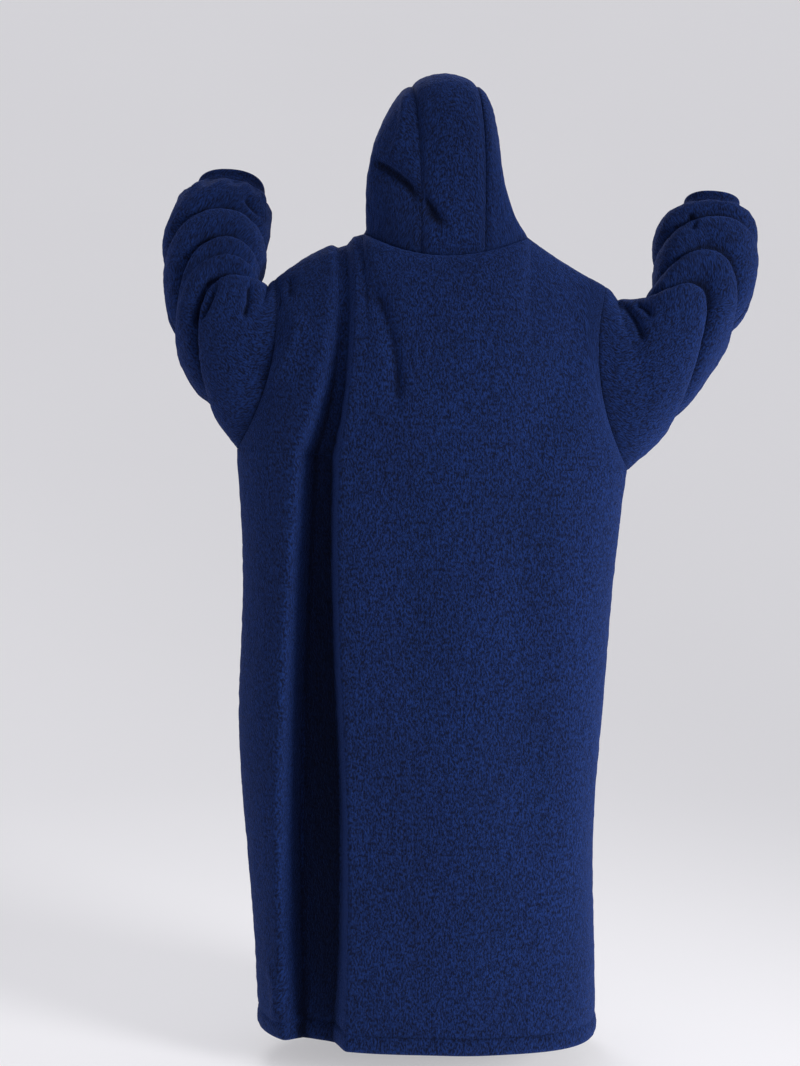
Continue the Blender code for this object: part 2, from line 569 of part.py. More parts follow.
def main():
    for obj in list(bpy.data.objects):
        bpy.data.objects.remove(obj)
    half_gap = SEAM_GAP / 2
    rows = np.arange(PANEL_ROWS + 1.0)[:, None]
    columns_back = np.arange(SHOULDER_RIGHT + NECK_BACK + SHOULDER_LEFT + 1.0)
    columns_front = np.arange(SHOULDER_RIGHT + NECK_FRONT + SHOULDER_LEFT + 1.0)
    whole_hood = hood(np.arange(NECK_BACK + 1.0), np.linspace(0, 1, HOOD_ROWS + 1)[:, None])
    grids = {
        "back": panel(False, columns_back, rows),
        "front": panel(True, columns_front, rows)[:, ::-1],
        "hood_right": whole_hood[:, HOOD_RIGHT_SEAM::-1],
        "hood_centre": whole_hood[:, HOOD_LEFT_SEAM : HOOD_RIGHT_SEAM - 1 : -1],
        "hood_left": whole_hood[:, : HOOD_LEFT_SEAM - 1 : -1],
    }
    angle = np.linspace(0, 2 * np.pi, 2 * ARMHOLE_ROWS + 1)[:-1]
    for side, word in ((-1, "right"), (1, "left")):
        tube = sleeve(side, np.linspace(0, 1, SLEEVE_ROWS + 1)[:, None], angle)
        band = cuff(tube[-1], tube[-2], np.linspace(0, 1, CUFF_ROWS + 1)[:, None, None])
        grids["sleeve_" + word] = tube[:, :: side]
        grids["cuff_" + word] = band[:, :: side]
    closed = {name: name.startswith(("sleeve", "cuff")) for name in grids}
    normals = share_normals(grids, closed)
    sewn = {
        "back": ("last", "right", "left"),
        "front": ("last", "right", "left"),
        "hood_right": ("last", "right", "left"),
        "hood_centre": ("last", "right", "left"),
        "hood_left": ("last", "right", "left"),
        "sleeve_right": ("first", "last"),
        "sleeve_left": ("first", "last"),
        "cuff_right": ("first",),
        "cuff_left": ("first",),
    }
    parent = bpy.data.objects.new("hoodie", None)
    bpy.context.scene.collection.objects.link(parent)
    material = fleece()
    for name, grid in grids.items():
        edges = {edge: half_gap for edge in sewn[name]}
        if name.startswith("hood"):
            edges["first"] = FACE_EDGE_GAP
        if name.startswith("sleeve"):
            edges["first"] = half_gap + UNDERARM_EASE
        build(name, grid, normals[name], closed[name], edges, parent, material)


main()
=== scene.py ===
"""Looks of a wearable blanket hoodie: thick navy pile fleece, worn with the hood up and both elbows raised.

Every piece is a sheet of cloth worked out with numpy on a grid of two parameters. Its outer side carries the
folds, the seams and the relief of the pile, and its inner side is plain. Metres, +Z up, front to -Y.
"""

import bpy
import numpy as np
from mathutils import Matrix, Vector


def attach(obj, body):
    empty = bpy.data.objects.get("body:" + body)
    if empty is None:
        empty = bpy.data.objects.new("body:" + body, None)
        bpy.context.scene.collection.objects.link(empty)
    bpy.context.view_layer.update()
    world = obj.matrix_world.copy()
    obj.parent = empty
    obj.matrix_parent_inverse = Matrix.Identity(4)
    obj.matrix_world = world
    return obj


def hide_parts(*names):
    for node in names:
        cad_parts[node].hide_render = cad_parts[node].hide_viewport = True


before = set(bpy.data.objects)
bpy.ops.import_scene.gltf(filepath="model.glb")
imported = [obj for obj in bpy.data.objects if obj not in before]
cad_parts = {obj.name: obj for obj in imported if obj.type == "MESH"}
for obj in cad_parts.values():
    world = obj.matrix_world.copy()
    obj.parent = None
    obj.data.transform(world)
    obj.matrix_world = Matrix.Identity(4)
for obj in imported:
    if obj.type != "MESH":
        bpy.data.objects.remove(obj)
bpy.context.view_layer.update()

bl_info = {
    "name": "Blanket hoodie",
    "version": (1, 0, 0),
    "blender": (4, 5, 0),
    "location": "View3D > Sidebar > Hoodie",
    "description": "Builds a worn blanket hoodie of pile fleece, piece by piece",
    "category": "Add Mesh",
}

# Steps of the fine grids. The plain inner side has one row and column for each four of the outer side.
INNER_STEP = 4
PANEL_COLUMN_STEPS = 6  # in each column of a panel
PANEL_ROW_STEPS = 20, 248, 92  # in its hem, from there to the underarm and above that
SLEEVE_STEPS_ROUND, SLEEVE_STEPS_ALONG, CUFF_STEPS = 168, 180, 8
CUFF_WAY_ROW = -8  # the sleeve's row from which the cuff takes its direction
HOOD_STEPS_ALONG, HOOD_SIDE_STEPS, HOOD_STRIP_STEPS = 140, 84, 32

# The pile.
LATTICE = 256  # random values each way, before they repeat
BEND_SIZE, BEND_SHARE = 4, 0.5  # of the noise that bends the clumps, against a clump
SMALL_SIZE, BROAD_SIZE = 1.9, 3.3  # how much finer and how much broader than a clump the other noises are
BIG_SHARE, SMALL_SHARE, BROAD_SHARE = 0.5, 0.4, 0.35
SEED_BACK, SEED_FRONT, SEED_SLEEVE, SEED_HOOD = 3, 11, 23, 41
RIM_HALF = 0.00015  # half of what is left of the cloth where two pieces meet
FAR = 9.0  # stands for no edge at all

# Painted shade on the pile, from 0 to 1: in creases and wide folds, along the seams and on the inner side.
HOLLOW_SCALES = (6, 0.0040), (24, 0.040)  # samples each way, and the depth that counts as full
PRESSED_SHADE, PRESSED_REACH = 0.75, 0.004  # in a seam, and how far from it
INNER_SHADE = 0.35

# The material's noises and tones.
CURL_SIZE, CURL_PUSH = (0.008, 0.012), (1.2, 1.2, 0.0)  # the bends that curl the tufts
CLOUD_SIZE = 0.11, 0.20  # wide patches of slightly brushed pile
CLOUD_TONE, CLOUD_DARKEST = 0.4, 0.8
TUFT_TONE, CLUMP_TONE, CLUMP_BUMP = 0.8, 0.2, 0.5
ROOT_AT, TIP_AT = 0.36, 0.66  # heights of the noise at which the roots and the tips have their full colour
# How far the painted shade darkens the pile's colour where it is full.
HOLLOW_PAINTED_SHADE = 0.78
SHEEN_TINT = 0.10, 0.24, 1.0, 1.0

# The stage.
FLOOR_RADII = 0.0, 0.8, 1.6, 2.4, 3.2, 4.0, 5.0, 6.0, 7.0, 8.5, 10.0, 12.0, 14.0
FLOOR_STEPS_ROUND = 96
FLOOR_FLAT, FLOOR_RISE = 2.0, 0.06  # the radius of its flat middle, and how fast it rises past that
FLOOR_COLOURS = (0.49, 0.485, 0.50, 1.0), (0.53, 0.525, 0.54, 1.0)
FLOOR_GLOW, FLOOR_GLOW_COLOUR = 0.41, (0.98, 0.97, 1.0, 1.0)
SKY_COLOUR = 0.94, 0.95, 1.0, 1.0
LIGHT_SPREAD = np.radians(50)
LIGHTS = {
    # Its place, its width and the point at which it is aimed.
    "key": ((-3.6, 2.9, 0.1), 1.8, (-0.05, 0.1, -0.95)),
    "front_fill": ((0.9, -3.6, 2.2), 2.0, (0.0, 0.0, -0.5)),
}


def table(names, *rows):
    """A short table as a dictionary of its named columns."""
    return dict(zip(names.split(), np.array(rows, float).T))


# Creases, listed one by one: both ends in x and z, the depth and the widths of the two flanks.
BACK_CREASES = table(
    "x0      z0      x1      z1     deep   right  left",
    (0.106, 0.128, -0.022, 0.012, 0.0200, 0.008, 0.026),
    (0.043, 0.235, 0.060, 0.120, -0.0085, 0.012, 0.012),
    (-0.061, 0.235, -0.083, 0.195, -0.0051, 0.008, 0.008),
    (0.092, -0.090, 0.054, -0.288, 0.0102, 0.014, 0.024),
    (0.214, -0.138, 0.268, -0.253, -0.0102, 0.022, 0.022),
    (0.261, -0.074, 0.253, -0.128, 0.0119, 0.007, 0.008),
    (0.299, -0.083, 0.311, -0.139, 0.0119, 0.007, 0.008),
    (0.235, -0.073, 0.235, -0.105, 0.0068, 0.009, 0.009),
    (0.281, 0.036, 0.318, 0.073, 0.0102, 0.007, 0.012),
    (0.357, -0.077, 0.391, -0.148, 0.0119, 0.008, 0.014),
    (-0.316, -0.105, -0.352, -0.177, 0.0136, 0.008, 0.010),
    (-0.345, -0.114, -0.366, -0.134, 0.0102, 0.006, 0.007),
    (-0.445, 0.043, -0.444, 0.012, 0.0102, 0.006, 0.008),
    (0.268, -1.219, 0.262, -1.326, -0.0068, 0.010, 0.014),
)
FRONT_CREASES = table(
    "x0      z0      x1      z1     deep   right  left",
    (0.120, -0.060, 0.190, -0.210, 0.0102, 0.014, 0.024),
    (-0.150, -0.060, -0.225, -0.200, 0.0102, 0.024, 0.014),
    (-0.240, -0.075, -0.262, -0.150, 0.0102, 0.010, 0.010),
    (0.250, -0.080, 0.245, -0.150, 0.0102, 0.008, 0.010),
    (0.300, -0.090, 0.322, -0.150, 0.0102, 0.008, 0.010),
    (-0.330, -0.110, -0.352, -0.170, 0.0119, 0.008, 0.010),
    (-0.060, -0.150, -0.090, -0.330, 0.0085, 0.016, 0.026),
    (0.030, -0.130, 0.060, -0.340, 0.0085, 0.024, 0.014),
)
CREASE_CLEAR = 0.012  # how far from a seam they fade
CREASE_BOW = 0.06  # how far they bow, as a share of their length
CREASE_TURN, CREASE_RISE = 0.2, 1.6  # how far the cloth must face their side, and how fast they rise then
CREASE_START, CREASE_START_AHEAD = 0.25, 0.5  # share of the length over which they start, and how early
CREASE_END, CREASE_END_AFTER = 0.35, 0.3

# The cloth and the way it is sewn.
HEM_BAND = 0.028  # the turned-up hem, from its fold to its stitching
STITCH_DIP = 0.003  # how deep stitching and seams press into the pile
HEM_HEIGHTS = 0, 0.5, 1, 1.6  # its rows, as shares of the band: the stitching runs along the third
# The hem's section, as rows up from its fold and shares of the stitching's depth: a band, then the groove.
HEM_STOPS = 0, 0.5, 1, 1.4, 1.75, 2, 2.25, 2.6, 3
HEM_PROFILE = 0.0, 0.5, 0.6, 0.5, -0.2, -1.0, -0.5, -0.1, 0

# Heights on the body.
HEM_Z = -1.343
UNDERARM_RIGHT_Z = -0.394
UNDERARM_LEFT_Z = -0.357

# Columns across a body panel, from the right side seam to the left one.
SHOULDER_RIGHT = 6
NECK_BACK = 20
NECK_FRONT = 24
SHOULDER_LEFT = 10
FOLD_RIDGE, FOLD_FOOT, FOLD_FAR_FOOT, FOLD_FAR_RIDGE = 1, 3, 5, 7  # columns past the neck's left end

# Rows up a body panel.
HEM_ROWS = 3
SKIRT_ROWS = 11
ARMHOLE_ROWS = 12
SIDE_ROWS = HEM_ROWS + SKIRT_ROWS
PANEL_ROWS = SIDE_ROWS + ARMHOLE_ROWS

CUFF_LENGTH = 0.022
CUFF_WAIST = 0.06  # share by which a cuff is tighter in its middle
HOOD_RIGHT_SEAM, HOOD_LEFT_SEAM = 7, 12  # the neck columns where the hood's two long seams end


# Half-widths and depths of the body's outline at each height. Box is the exponent of the rounded
# outline: 2 is an ellipse, and more is squarer. Neck is where the neck's ends fall on the back.
BODY = table(
    "z     left   right  back   front  box_left box_right neck_left neck_right",
    (-1.343, 0.294, 0.281, 0.206, 0.185, 2.3, 3.4, 0.105, -0.205),
    (-1.180, 0.301, 0.278, 0.203, 0.183, 2.3, 3.3, 0.105, -0.205),
    (-1.000, 0.315, 0.276, 0.198, 0.180, 2.3, 3.2, 0.105, -0.205),
    (-0.800, 0.325, 0.291, 0.192, 0.176, 2.3, 3.0, 0.110, -0.205),
    (-0.600, 0.317, 0.307, 0.182, 0.168, 2.2, 2.8, 0.115, -0.205),
    (-0.375, 0.326, 0.333, 0.173, 0.162, 2.1, 2.5, 0.118, -0.205),
)
# The deep fold that runs down the left of the back, as places across the back and its depth.
FOLD = table(
    "z      ridge  foot   far_foot far_ridge depth",
    (-1.343, 0.138, 0.164, 0.206, 0.250, 0.046),
    (-1.250, 0.136, 0.156, 0.210, 0.254, 0.074),
    (-1.100, 0.134, 0.150, 0.214, 0.258, 0.090),
    (-0.900, 0.136, 0.151, 0.214, 0.256, 0.092),
    (-0.700, 0.146, 0.161, 0.208, 0.250, 0.086),
    (-0.500, 0.150, 0.165, 0.198, 0.238, 0.072),
    (-0.375, 0.148, 0.163, 0.190, 0.230, 0.060),
)
FOLD_AT_SHOULDER = 0.010
FOLD_SHARES = 0.10, 0.19, 0.27, 0.38  # where the fold's four lines reach the shoulder seam
# Soft troughs of the body panels: both ends across and up, depth and half-width. A ridge has less than 0.
BACK_TROUGHS = (
    (0.060, -0.300, 0.020, -0.900, 0.006, 0.050),
    (-0.140, -0.250, -0.170, -1.150, 0.006, 0.045),
    (-0.050, -0.700, -0.060, -1.343, -0.006, 0.060),
    (-0.255, -0.110, -0.150, -0.420, 0.007, 0.040),
)
FRONT_TROUGHS = (
    (0.100, -0.180, 0.150, -1.343, 0.026, 0.042),
    (-0.120, -0.250, -0.165, -1.343, 0.022, 0.040),
    (0.000, -0.450, 0.010, -1.343, 0.014, 0.040),
    (0.225, -0.400, 0.235, -1.343, -0.012, 0.034),
    (-0.060, -0.120, -0.020, -0.420, 0.008, 0.040),
)
TROUGH_FADE = 0.3  # share of its length over which a trough starts and ends
TROUGH_CLEAR = 3  # columns beside the side seams in which the troughs fade out
TROUGH_TOP = 0.25  # share of the height above the underarm in which they do

# The neck seam: a ring that is lowest at the front.
NECK_X, NECK_HALF, NECK_BACK_Y, NECK_FRONT_Y = -0.0265, 0.1385, 0.082, -0.098
NECK_RIGHT_Z, NECK_LEFT_Z, NECK_BACK_Z, NECK_FRONT_Z = -0.003, 0.004, -0.036, -0.080

# The armholes, from the end of the shoulder seam to the underarm.
ARMHOLE = table(
    "side  shoulder_x shoulder_z underarm_x underarm_z inward back_y front_y",
    (-1, -0.296, -0.084, -0.333, UNDERARM_RIGHT_Z, 0.034, 0.086, 0.080),
    (1, 0.262, -0.072, 0.326, UNDERARM_LEFT_Z, 0.030, 0.086, 0.080),
)
SHOULDER_ARCH_RIGHT, SHOULDER_ARCH_LEFT = -0.004, 0.011
SHOULDER_ROUND = 1.8  # exponent of the curve in which the panels round over to the shoulders
ARMHOLE_BLEND = 1.6  # columns over which a panel takes up the armhole's depth

# Sleeves: the edge towards the head, the outer edge, the middle's place front to back, the half-depth
# and how far the ring leans forward as the forearm does, at shares of the sleeve's length.
SLEEVE_RIGHT = table(
    "share in_x   in_z    out_x   out_z   mid_y  half_y lean",
    (0.00, -0.296, -0.084, -0.335, -0.394, 0.003, 0.083, 0),
    (0.12, -0.325, -0.102, -0.364, -0.368, 0.000, 0.089, 5),
    (0.25, -0.348, -0.108, -0.419, -0.313, -0.005, 0.097, 14),
    (0.38, -0.363, -0.106, -0.475, -0.232, -0.010, 0.101, 24),
    (0.50, -0.376, -0.092, -0.523, -0.154, -0.022, 0.099, 32),
    (0.62, -0.381, -0.064, -0.553, -0.092, -0.042, 0.094, 37),
    (0.75, -0.382, -0.024, -0.565, -0.024, -0.072, 0.088, 40),
    (0.87, -0.396, 0.014, -0.561, 0.016, -0.102, 0.080, 38),
    (0.95, -0.420, 0.034, -0.548, 0.030, -0.118, 0.066, 30),
    (1.00, -0.440, 0.050, -0.536, 0.042, -0.124, 0.050, 22),
)
SLEEVE_LEFT = table(
    "share in_x   in_z    out_x   out_z   mid_y  half_y lean",
    (0.00, 0.262, -0.072, 0.327, -0.357, 0.003, 0.083, 0),
    (0.12, 0.275, -0.079, 0.349, -0.328, 0.000, 0.087, 6),
    (0.25, 0.283, -0.081, 0.395, -0.266, -0.005, 0.094, 18),
    (0.38, 0.288, -0.076, 0.431, -0.193, -0.012, 0.100, 30),
    (0.50, 0.286, -0.058, 0.449, -0.124, -0.026, 0.100, 38),
    (0.62, 0.280, -0.034, 0.457, -0.066, -0.050, 0.096, 43),
    (0.75, 0.278, 0.000, 0.459, -0.012, -0.084, 0.090, 45),
    (0.87, 0.277, 0.034, 0.445, 0.034, -0.116, 0.082, 43),
    (0.95, 0.282, 0.056, 0.432, 0.060, -0.136, 0.070, 39),
    (1.00, 0.294, 0.072, 0.411, 0.078, -0.147, 0.055, 35),
)
# The creases between the sleeves' rolls of cloth: where each crosses the inner, back, outer and front side,
# its depth on those sides, and how fast the cloth rises again after it, as a share of the length.
CREASES_RIGHT = table(
    "inner back   outer  front  deep_inner deep_back deep_outer deep_front after",
    (0.070, 0.150, 0.120, 0.120, 0.012, 0.003, 0.000, 0.003, 0.036),
    (0.300, 0.500, 0.240, 0.440, 0.012, 0.030, 0.012, 0.020, 0.046),
    (0.500, 0.655, 0.500, 0.570, 0.010, 0.022, 0.010, 0.018, 0.040),
    (0.700, 0.800, 0.740, 0.710, 0.012, 0.022, 0.004, 0.014, 0.038),
)
CREASES_LEFT = table(
    "inner back   outer  front  deep_inner deep_back deep_outer deep_front after",
    (0.080, 0.150, 0.120, 0.120, 0.010, 0.000, 0.000, 0.003, 0.036),
    (0.290, 0.415, 0.200, 0.390, 0.012, 0.026, 0.012, 0.018, 0.040),
    (0.420, 0.510, 0.400, 0.460, 0.008, 0.012, 0.000, 0.008, 0.034),
    (0.520, 0.605, 0.420, 0.550, 0.010, 0.024, 0.012, 0.016, 0.040),
    (0.700, 0.765, 0.640, 0.690, 0.012, 0.022, 0.010, 0.014, 0.038),
)
CREASE_DROP = 0.020  # how fast the cloth drops into a crease, as a share of the length
SEAM_REACH = 0.06  # share of the length at each seam that the creases leave smooth
ARMHOLE_REACH = 0.2  # share of it over which the sleeve takes up the armhole's outline
SLEEVE_BOX = 2.3  # exponent of its rounded rings
GATHER_WAVES = 12
GATHER_HEIGHT = 0.003
GATHER_REACH = 0.12  # share of the sleeve that the cuff's gathers run back into

# The hood's middle line from the forehead over the crown to the nape, and how far its side panels swell
# sideways and outwards between the long seam and the neck.
HOOD = table(
    "share x      y       z      swell_right swell_left swell_out",
    (0.00, 0.004, -0.132, 0.214, 0.076, 0.072, 0.000),
    (0.12, -0.008, -0.095, 0.249, 0.066, 0.065, 0.004),
    (0.25, -0.018, -0.042, 0.267, 0.048, 0.055, 0.010),
    (0.38, -0.023, 0.018, 0.268, 0.033, 0.044, 0.016),
    (0.50, -0.027, 0.072, 0.247, 0.022, 0.034, 0.022),
    (0.62, -0.032, 0.107, 0.199, 0.013, 0.024, 0.024),
    (0.75, -0.036, 0.121, 0.131, 0.004, 0.012, 0.020),
    (0.87, -0.037, 0.112, 0.058, 0.000, 0.000, 0.012),
    (1.00, -0.037, 0.083, -0.036, 0.000, 0.000, 0.000),
)
HOOD_STRIP_HALF = 0.053
HOOD_STRIP_DROP = 0.017
# Its sides stand up from the neck: the share of the way out that they reach at once below the long seams.
# The right one flares to the neck seam at its foot.
HOOD_WAIST_RIGHT, HOOD_WAIST_LEFT = 0.33, 0.96
HOOD_ROUND_RIGHT, HOOD_ROUND_LEFT = 4.5, 3.6
HOOD_FLARE = 20
HOOD_BOW = 0.65  # exponent of the sides' swelling: less than 1 is fuller
FACE_REACH = 0.15  # share of the middle line behind the face edge in which the sides start to stand up
NAPE_START = 0.55  # share from which the cloth turns in to the neck's back
SEAM_PRESS = 0.32  # columns over which the pile sinks to a long seam
PRESS_FADE = 0.3  # how fast that fades at the ends: less is faster
NUDGE = 1e-4  # share of the middle line over which its direction is taken


def smooth(table_, name, at):
    """The named column against the table's first one, on a natural cubic spline, held at its ends."""
    x, y = next(iter(table_.values())), table_[name]
    at = np.clip(at, x[0], x[-1])
    step = np.diff(x)
    slope = np.diff(y) / step
    system, right = np.eye(len(x)), np.zeros(len(x))
    for i in range(1, len(x) - 1):
        system[i, i - 1 : i + 2] = step[i - 1], 2 * (step[i - 1] + step[i]), step[i]
        right[i] = 6 * (slope[i] - slope[i - 1])
    bend = np.linalg.solve(system, right)
    i = np.clip(np.searchsorted(x, at) - 1, 0, len(x) - 2)
    after, before, h = x[i + 1] - at, at - x[i], step[i]
    return (
        (bend[i] * after**3 + bend[i + 1] * before**3) / (6 * h)
        + (y[i] / h - bend[i] * h / 6) * after
        + (y[i + 1] / h - bend[i + 1] * h / 6) * before
    )


def ease(t):
    """0 to 1 with flat ends."""
    t = np.clip(t, 0, 1)
    return t * t * (3 - 2 * t)


def unit(v):
    return v / np.maximum(np.linalg.norm(v, axis=-1, keepdims=True), 1e-12)


def points(x, y, z):
    return np.stack(np.broadcast_arrays(x, y, z), axis=-1)


def neck_ring(angle, front):
    """The neck seam at an angle from the right, 0, to the left, pi, over the back or the front."""
    mid_y, mid_z = (NECK_FRONT_Y, NECK_FRONT_Z) if front else (NECK_BACK_Y, NECK_BACK_Z)
    side_z = NECK_RIGHT_Z + (NECK_LEFT_Z - NECK_RIGHT_Z) * (1 - np.cos(angle)) / 2
    return points(
        NECK_X - NECK_HALF * np.cos(angle),
        mid_y * np.sin(angle),
        side_z + (mid_z - side_z) * np.sin(angle) ** 2,
    )


def armhole(side, angle):
    """An armhole seam: angle 0 is the shoulder, pi/2 the back, pi the underarm and 3pi/2 the front."""
    row = {name: column[(side + 1) // 2] for name, column in ARMHOLE.items()}
    down = (1 - np.cos(angle)) / 2
    x = row["shoulder_x"] + (row["underarm_x"] - row["shoulder_x"]) * down
    y = np.where(np.sin(angle) > 0, row["back_y"], row["front_y"]) * np.sin(angle)
    return points(
        x - side * row["inward"] * np.sin(angle) ** 2,
        y,
        row["shoulder_z"] + (row["underarm_z"] - row["shoulder_z"]) * down,
    )


def shoulder_seam(side, share, fold):
    """A shoulder seam from the neck, share 0, to the armhole, share 1, with the dip of the deep fold."""
    start = neck_ring(np.pi * (side > 0), False)
    end = armhole(side, 0.0)
    line = start + (end - start) * share[..., None]
    arch = SHOULDER_ARCH_RIGHT if side < 0 else SHOULDER_ARCH_LEFT
    line[..., 2] += arch * np.sin(np.pi * share) - FOLD_AT_SHOULDER * fold
    return line


def across_fold(columns):
    """How much of the deep fold's depth each column takes, counted from the neck's left end."""
    down = ease((columns - FOLD_RIDGE) / (FOLD_FOOT - FOLD_RIDGE))
    return down * ease((FOLD_FAR_RIDGE - columns) / (FOLD_FAR_RIDGE - FOLD_FAR_FOOT))


def top_edge(columns, front):
    """The upper edge of a body panel: right shoulder seam, neck, left shoulder seam."""
    neck = NECK_FRONT if front else NECK_BACK
    right = shoulder_seam(-1, 1 - np.clip(columns / SHOULDER_RIGHT, 0, 1), 0 * columns)
    middle = neck_ring(np.pi * np.clip((columns - SHOULDER_RIGHT) / neck, 0, 1), front)
    past = columns - SHOULDER_RIGHT - neck
    lines = (0, FOLD_RIDGE, FOLD_FOOT, FOLD_FAR_FOOT, FOLD_FAR_RIDGE, SHOULDER_LEFT)
    left = shoulder_seam(1, np.interp(past, lines, (0, *FOLD_SHARES, 1)), across_fold(past))
    which = np.digitize(columns, (SHOULDER_RIGHT, SHOULDER_RIGHT + neck))[..., None]
    return np.choose(which, (right, middle, left))


def outline(angle, z, front, proud):
    """A point of the body's rounded outline at an angle from its middle, some way proud of it."""
    left = np.cos(angle) > 0
    half = np.where(left, smooth(BODY, "left", z), smooth(BODY, "right", z)) + proud
    box = np.where(left, smooth(BODY, "box_left", z), smooth(BODY, "box_right", z))
    depth = smooth(BODY, "front" if front else "back", z) + proud
    reach = (np.abs(np.cos(angle) / half) ** box + np.abs(np.sin(angle) / depth) ** box) ** (-1 / box)
    return reach * np.cos(angle), reach * np.sin(angle)


def depth_at(x, z, front):
    """How far the body's outline reaches to the front or back at x."""
    half = np.where(x > 0, smooth(BODY, "left", z), smooth(BODY, "right", z))
    box = np.where(x > 0, smooth(BODY, "box_left", z), smooth(BODY, "box_right", z))
    depth = smooth(BODY, "front" if front else "back", z)
    return depth * (1 - np.minimum(np.abs(x / half), 1) ** box) ** (1 / box)


def trough_depth(x, z, troughs):
    """How deep the soft troughs are at a point: a bell across each one, fading towards its ends."""
    depth = 0.0
    for x0, z0, x1, z1, deep, half in troughs:
        length = np.hypot(x1 - x0, z1 - z0)
        along = ((x - x0) * (x1 - x0) + (z - z0) * (z1 - z0)) / length
        across = ((x - x0) * (z1 - z0) - (z - z0) * (x1 - x0)) / length
        fade = ease(along / (TROUGH_FADE * length))
        fade = fade * np.where(z1 <= HEM_Z, 1, ease((length - along) / (TROUGH_FADE * length)))
        depth = depth + deep * np.exp(-((across / half) ** 2)) * fade
    return depth


def panel(front, columns, rows):
    """The front or back of the body: rows from the hem up to the shoulders, columns from right to left."""
    neck = NECK_FRONT if front else NECK_BACK
    last = SHOULDER_RIGHT + neck + SHOULDER_LEFT
    sign = -1 if front else 1

    # Below the underarm, each row is the outline at its height.
    underarm = UNDERARM_RIGHT_Z + (UNDERARM_LEFT_Z - UNDERARM_RIGHT_Z) * columns / last
    hem = np.interp(rows, range(HEM_ROWS + 1), np.array(HEM_HEIGHTS) * HEM_BAND)
    up = np.clip((rows - HEM_ROWS) / SKIRT_ROWS, 0, 1)
    z = HEM_Z + hem + (underarm - HEM_Z - hem) * up
    stops = SHOULDER_RIGHT + np.array((0, neck))
    places = [smooth(BODY, "neck_right", z[:, 0]), smooth(BODY, "neck_left", z[:, -1])]
    if not front:
        stops = [*stops, *(stops[1] + np.array((FOLD_RIDGE, FOLD_FOOT, FOLD_FAR_FOOT, FOLD_FAR_RIDGE)))]
        places += [smooth(FOLD, name, z[:, -1]) for name in ("ridge", "foot", "far_foot", "far_ridge")]
    angles = [np.arctan2(depth_at(place, z[:, 0], front), place) for place in places]
    angle = np.array(
        [
            np.interp(columns, [0, *stops, last], [np.pi, *row, 0])
            for row in zip(*angles)
        ]
    )
    hem_shape = np.interp(rows, HEM_STOPS, np.array(HEM_PROFILE) * STITCH_DIP)
    x, y = outline(angle, z, front, hem_shape)
    skirt = points(x, sign * y, z)

    # Above it, the panel runs up between the armholes and rounds over to the shoulders.
    up = np.clip((rows - SIDE_ROWS) / ARMHOLE_ROWS, 0, 1)
    right, left = (armhole(side, np.pi * (1 - sign * up)) for side in (-1, 1))
    top = top_edge(columns, front)
    under = skirt[np.searchsorted(rows[:, 0], SIDE_ROWS)]
    share_under = (under[:, 0] - under[0, 0]) / (under[-1, 0] - under[0, 0])
    share_top = (top[:, 0] - top[0, 0]) / (top[-1, 0] - top[0, 0])
    share = share_under + (share_top - share_under) * ease(up)
    height = (1 - np.cos(np.pi * up)) / 2
    round_over = (1 - height**SHOULDER_ROUND) ** (1 / SHOULDER_ROUND)
    near_right, near_left = (np.exp(-((past / ARMHOLE_BLEND) ** 2)) for past in (columns, last - columns))
    x = right[..., 0] + (left[..., 0] - right[..., 0]) * share
    y = top[:, 1] + (sign * depth_at(x, underarm, front) - top[:, 1]) * round_over
    y = y + (right[..., 1] - y[:, :1]) * near_right + (left[..., 1] - y[:, -1:]) * near_left
    yoke = points(x, y, under[:, 2] + (top[:, 2] - under[:, 2]) * height)
    cloth = np.where((rows > SIDE_ROWS)[..., None], yoke, skirt)

    # Folds press the cloth in, and at the shoulder they press it down.
    inside = ease(np.minimum(columns, last - columns) / TROUGH_CLEAR) * ease((1 - up) / TROUGH_TOP)
    press = trough_depth(cloth[..., 0], cloth[..., 2], FRONT_TROUGHS if front else BACK_TROUGHS) * inside
    if not front:
        press = press + across_fold(columns - stops[1]) * smooth(FOLD, "depth", z) * (1 - ease(up))
    way = unit(points(0, -sign * (1 - ease(up)), -ease(up) + 0 * columns))
    return cloth + way * press[..., None]


def sleeve(side, share, angle):
    """A sleeve: rows from the armhole to the cuff, columns down the back and up the front."""
    sizes = SLEEVE_RIGHT if side < 0 else SLEEVE_LEFT
    creases = CREASES_RIGHT if side < 0 else CREASES_LEFT
    cloth = ring(sizes, share, angle)
    hollow = 0.0
    for crease in zip(*creases.values()):
        inner, back, outer, front, deep_inner, deep_back, deep_outer, deep_front, after = crease
        place = round_the_ring(angle, inner, back, outer, front)
        depth = round_the_ring(angle, deep_inner, deep_back, deep_outer, deep_front)
        half = np.where(share < place, CREASE_DROP, after)
        hollow = hollow + depth / (1 + ((share - place) / half) ** 2)
    gathers = GATHER_HEIGHT * np.cos(GATHER_WAVES * angle) * np.sin(
        np.pi * np.clip((share - 1 + GATHER_REACH) / GATHER_REACH, 0, 1)
    )
    ends = ease(share / SEAM_REACH) * ease((1 - share) / SEAM_REACH)
    middle = cloth.mean(axis=1, keepdims=True)
    cloth = cloth + unit(middle - cloth) * (hollow * ends - gathers)[..., None]
    start = armhole(side, angle)
    return cloth + (start - cloth[0]) * (1 - ease(share / ARMHOLE_REACH))[..., None]


def round_the_ring(angle, inner, back, outer, front):
    """A value that passes through the four sides of a ring in turn."""
    middle = (inner + outer) / 2 + (inner - outer) / 2 * np.cos(angle)
    side = np.where(np.sin(angle) > 0, back, front) - (inner + outer) / 2
    return middle + side * np.sin(angle) ** 2


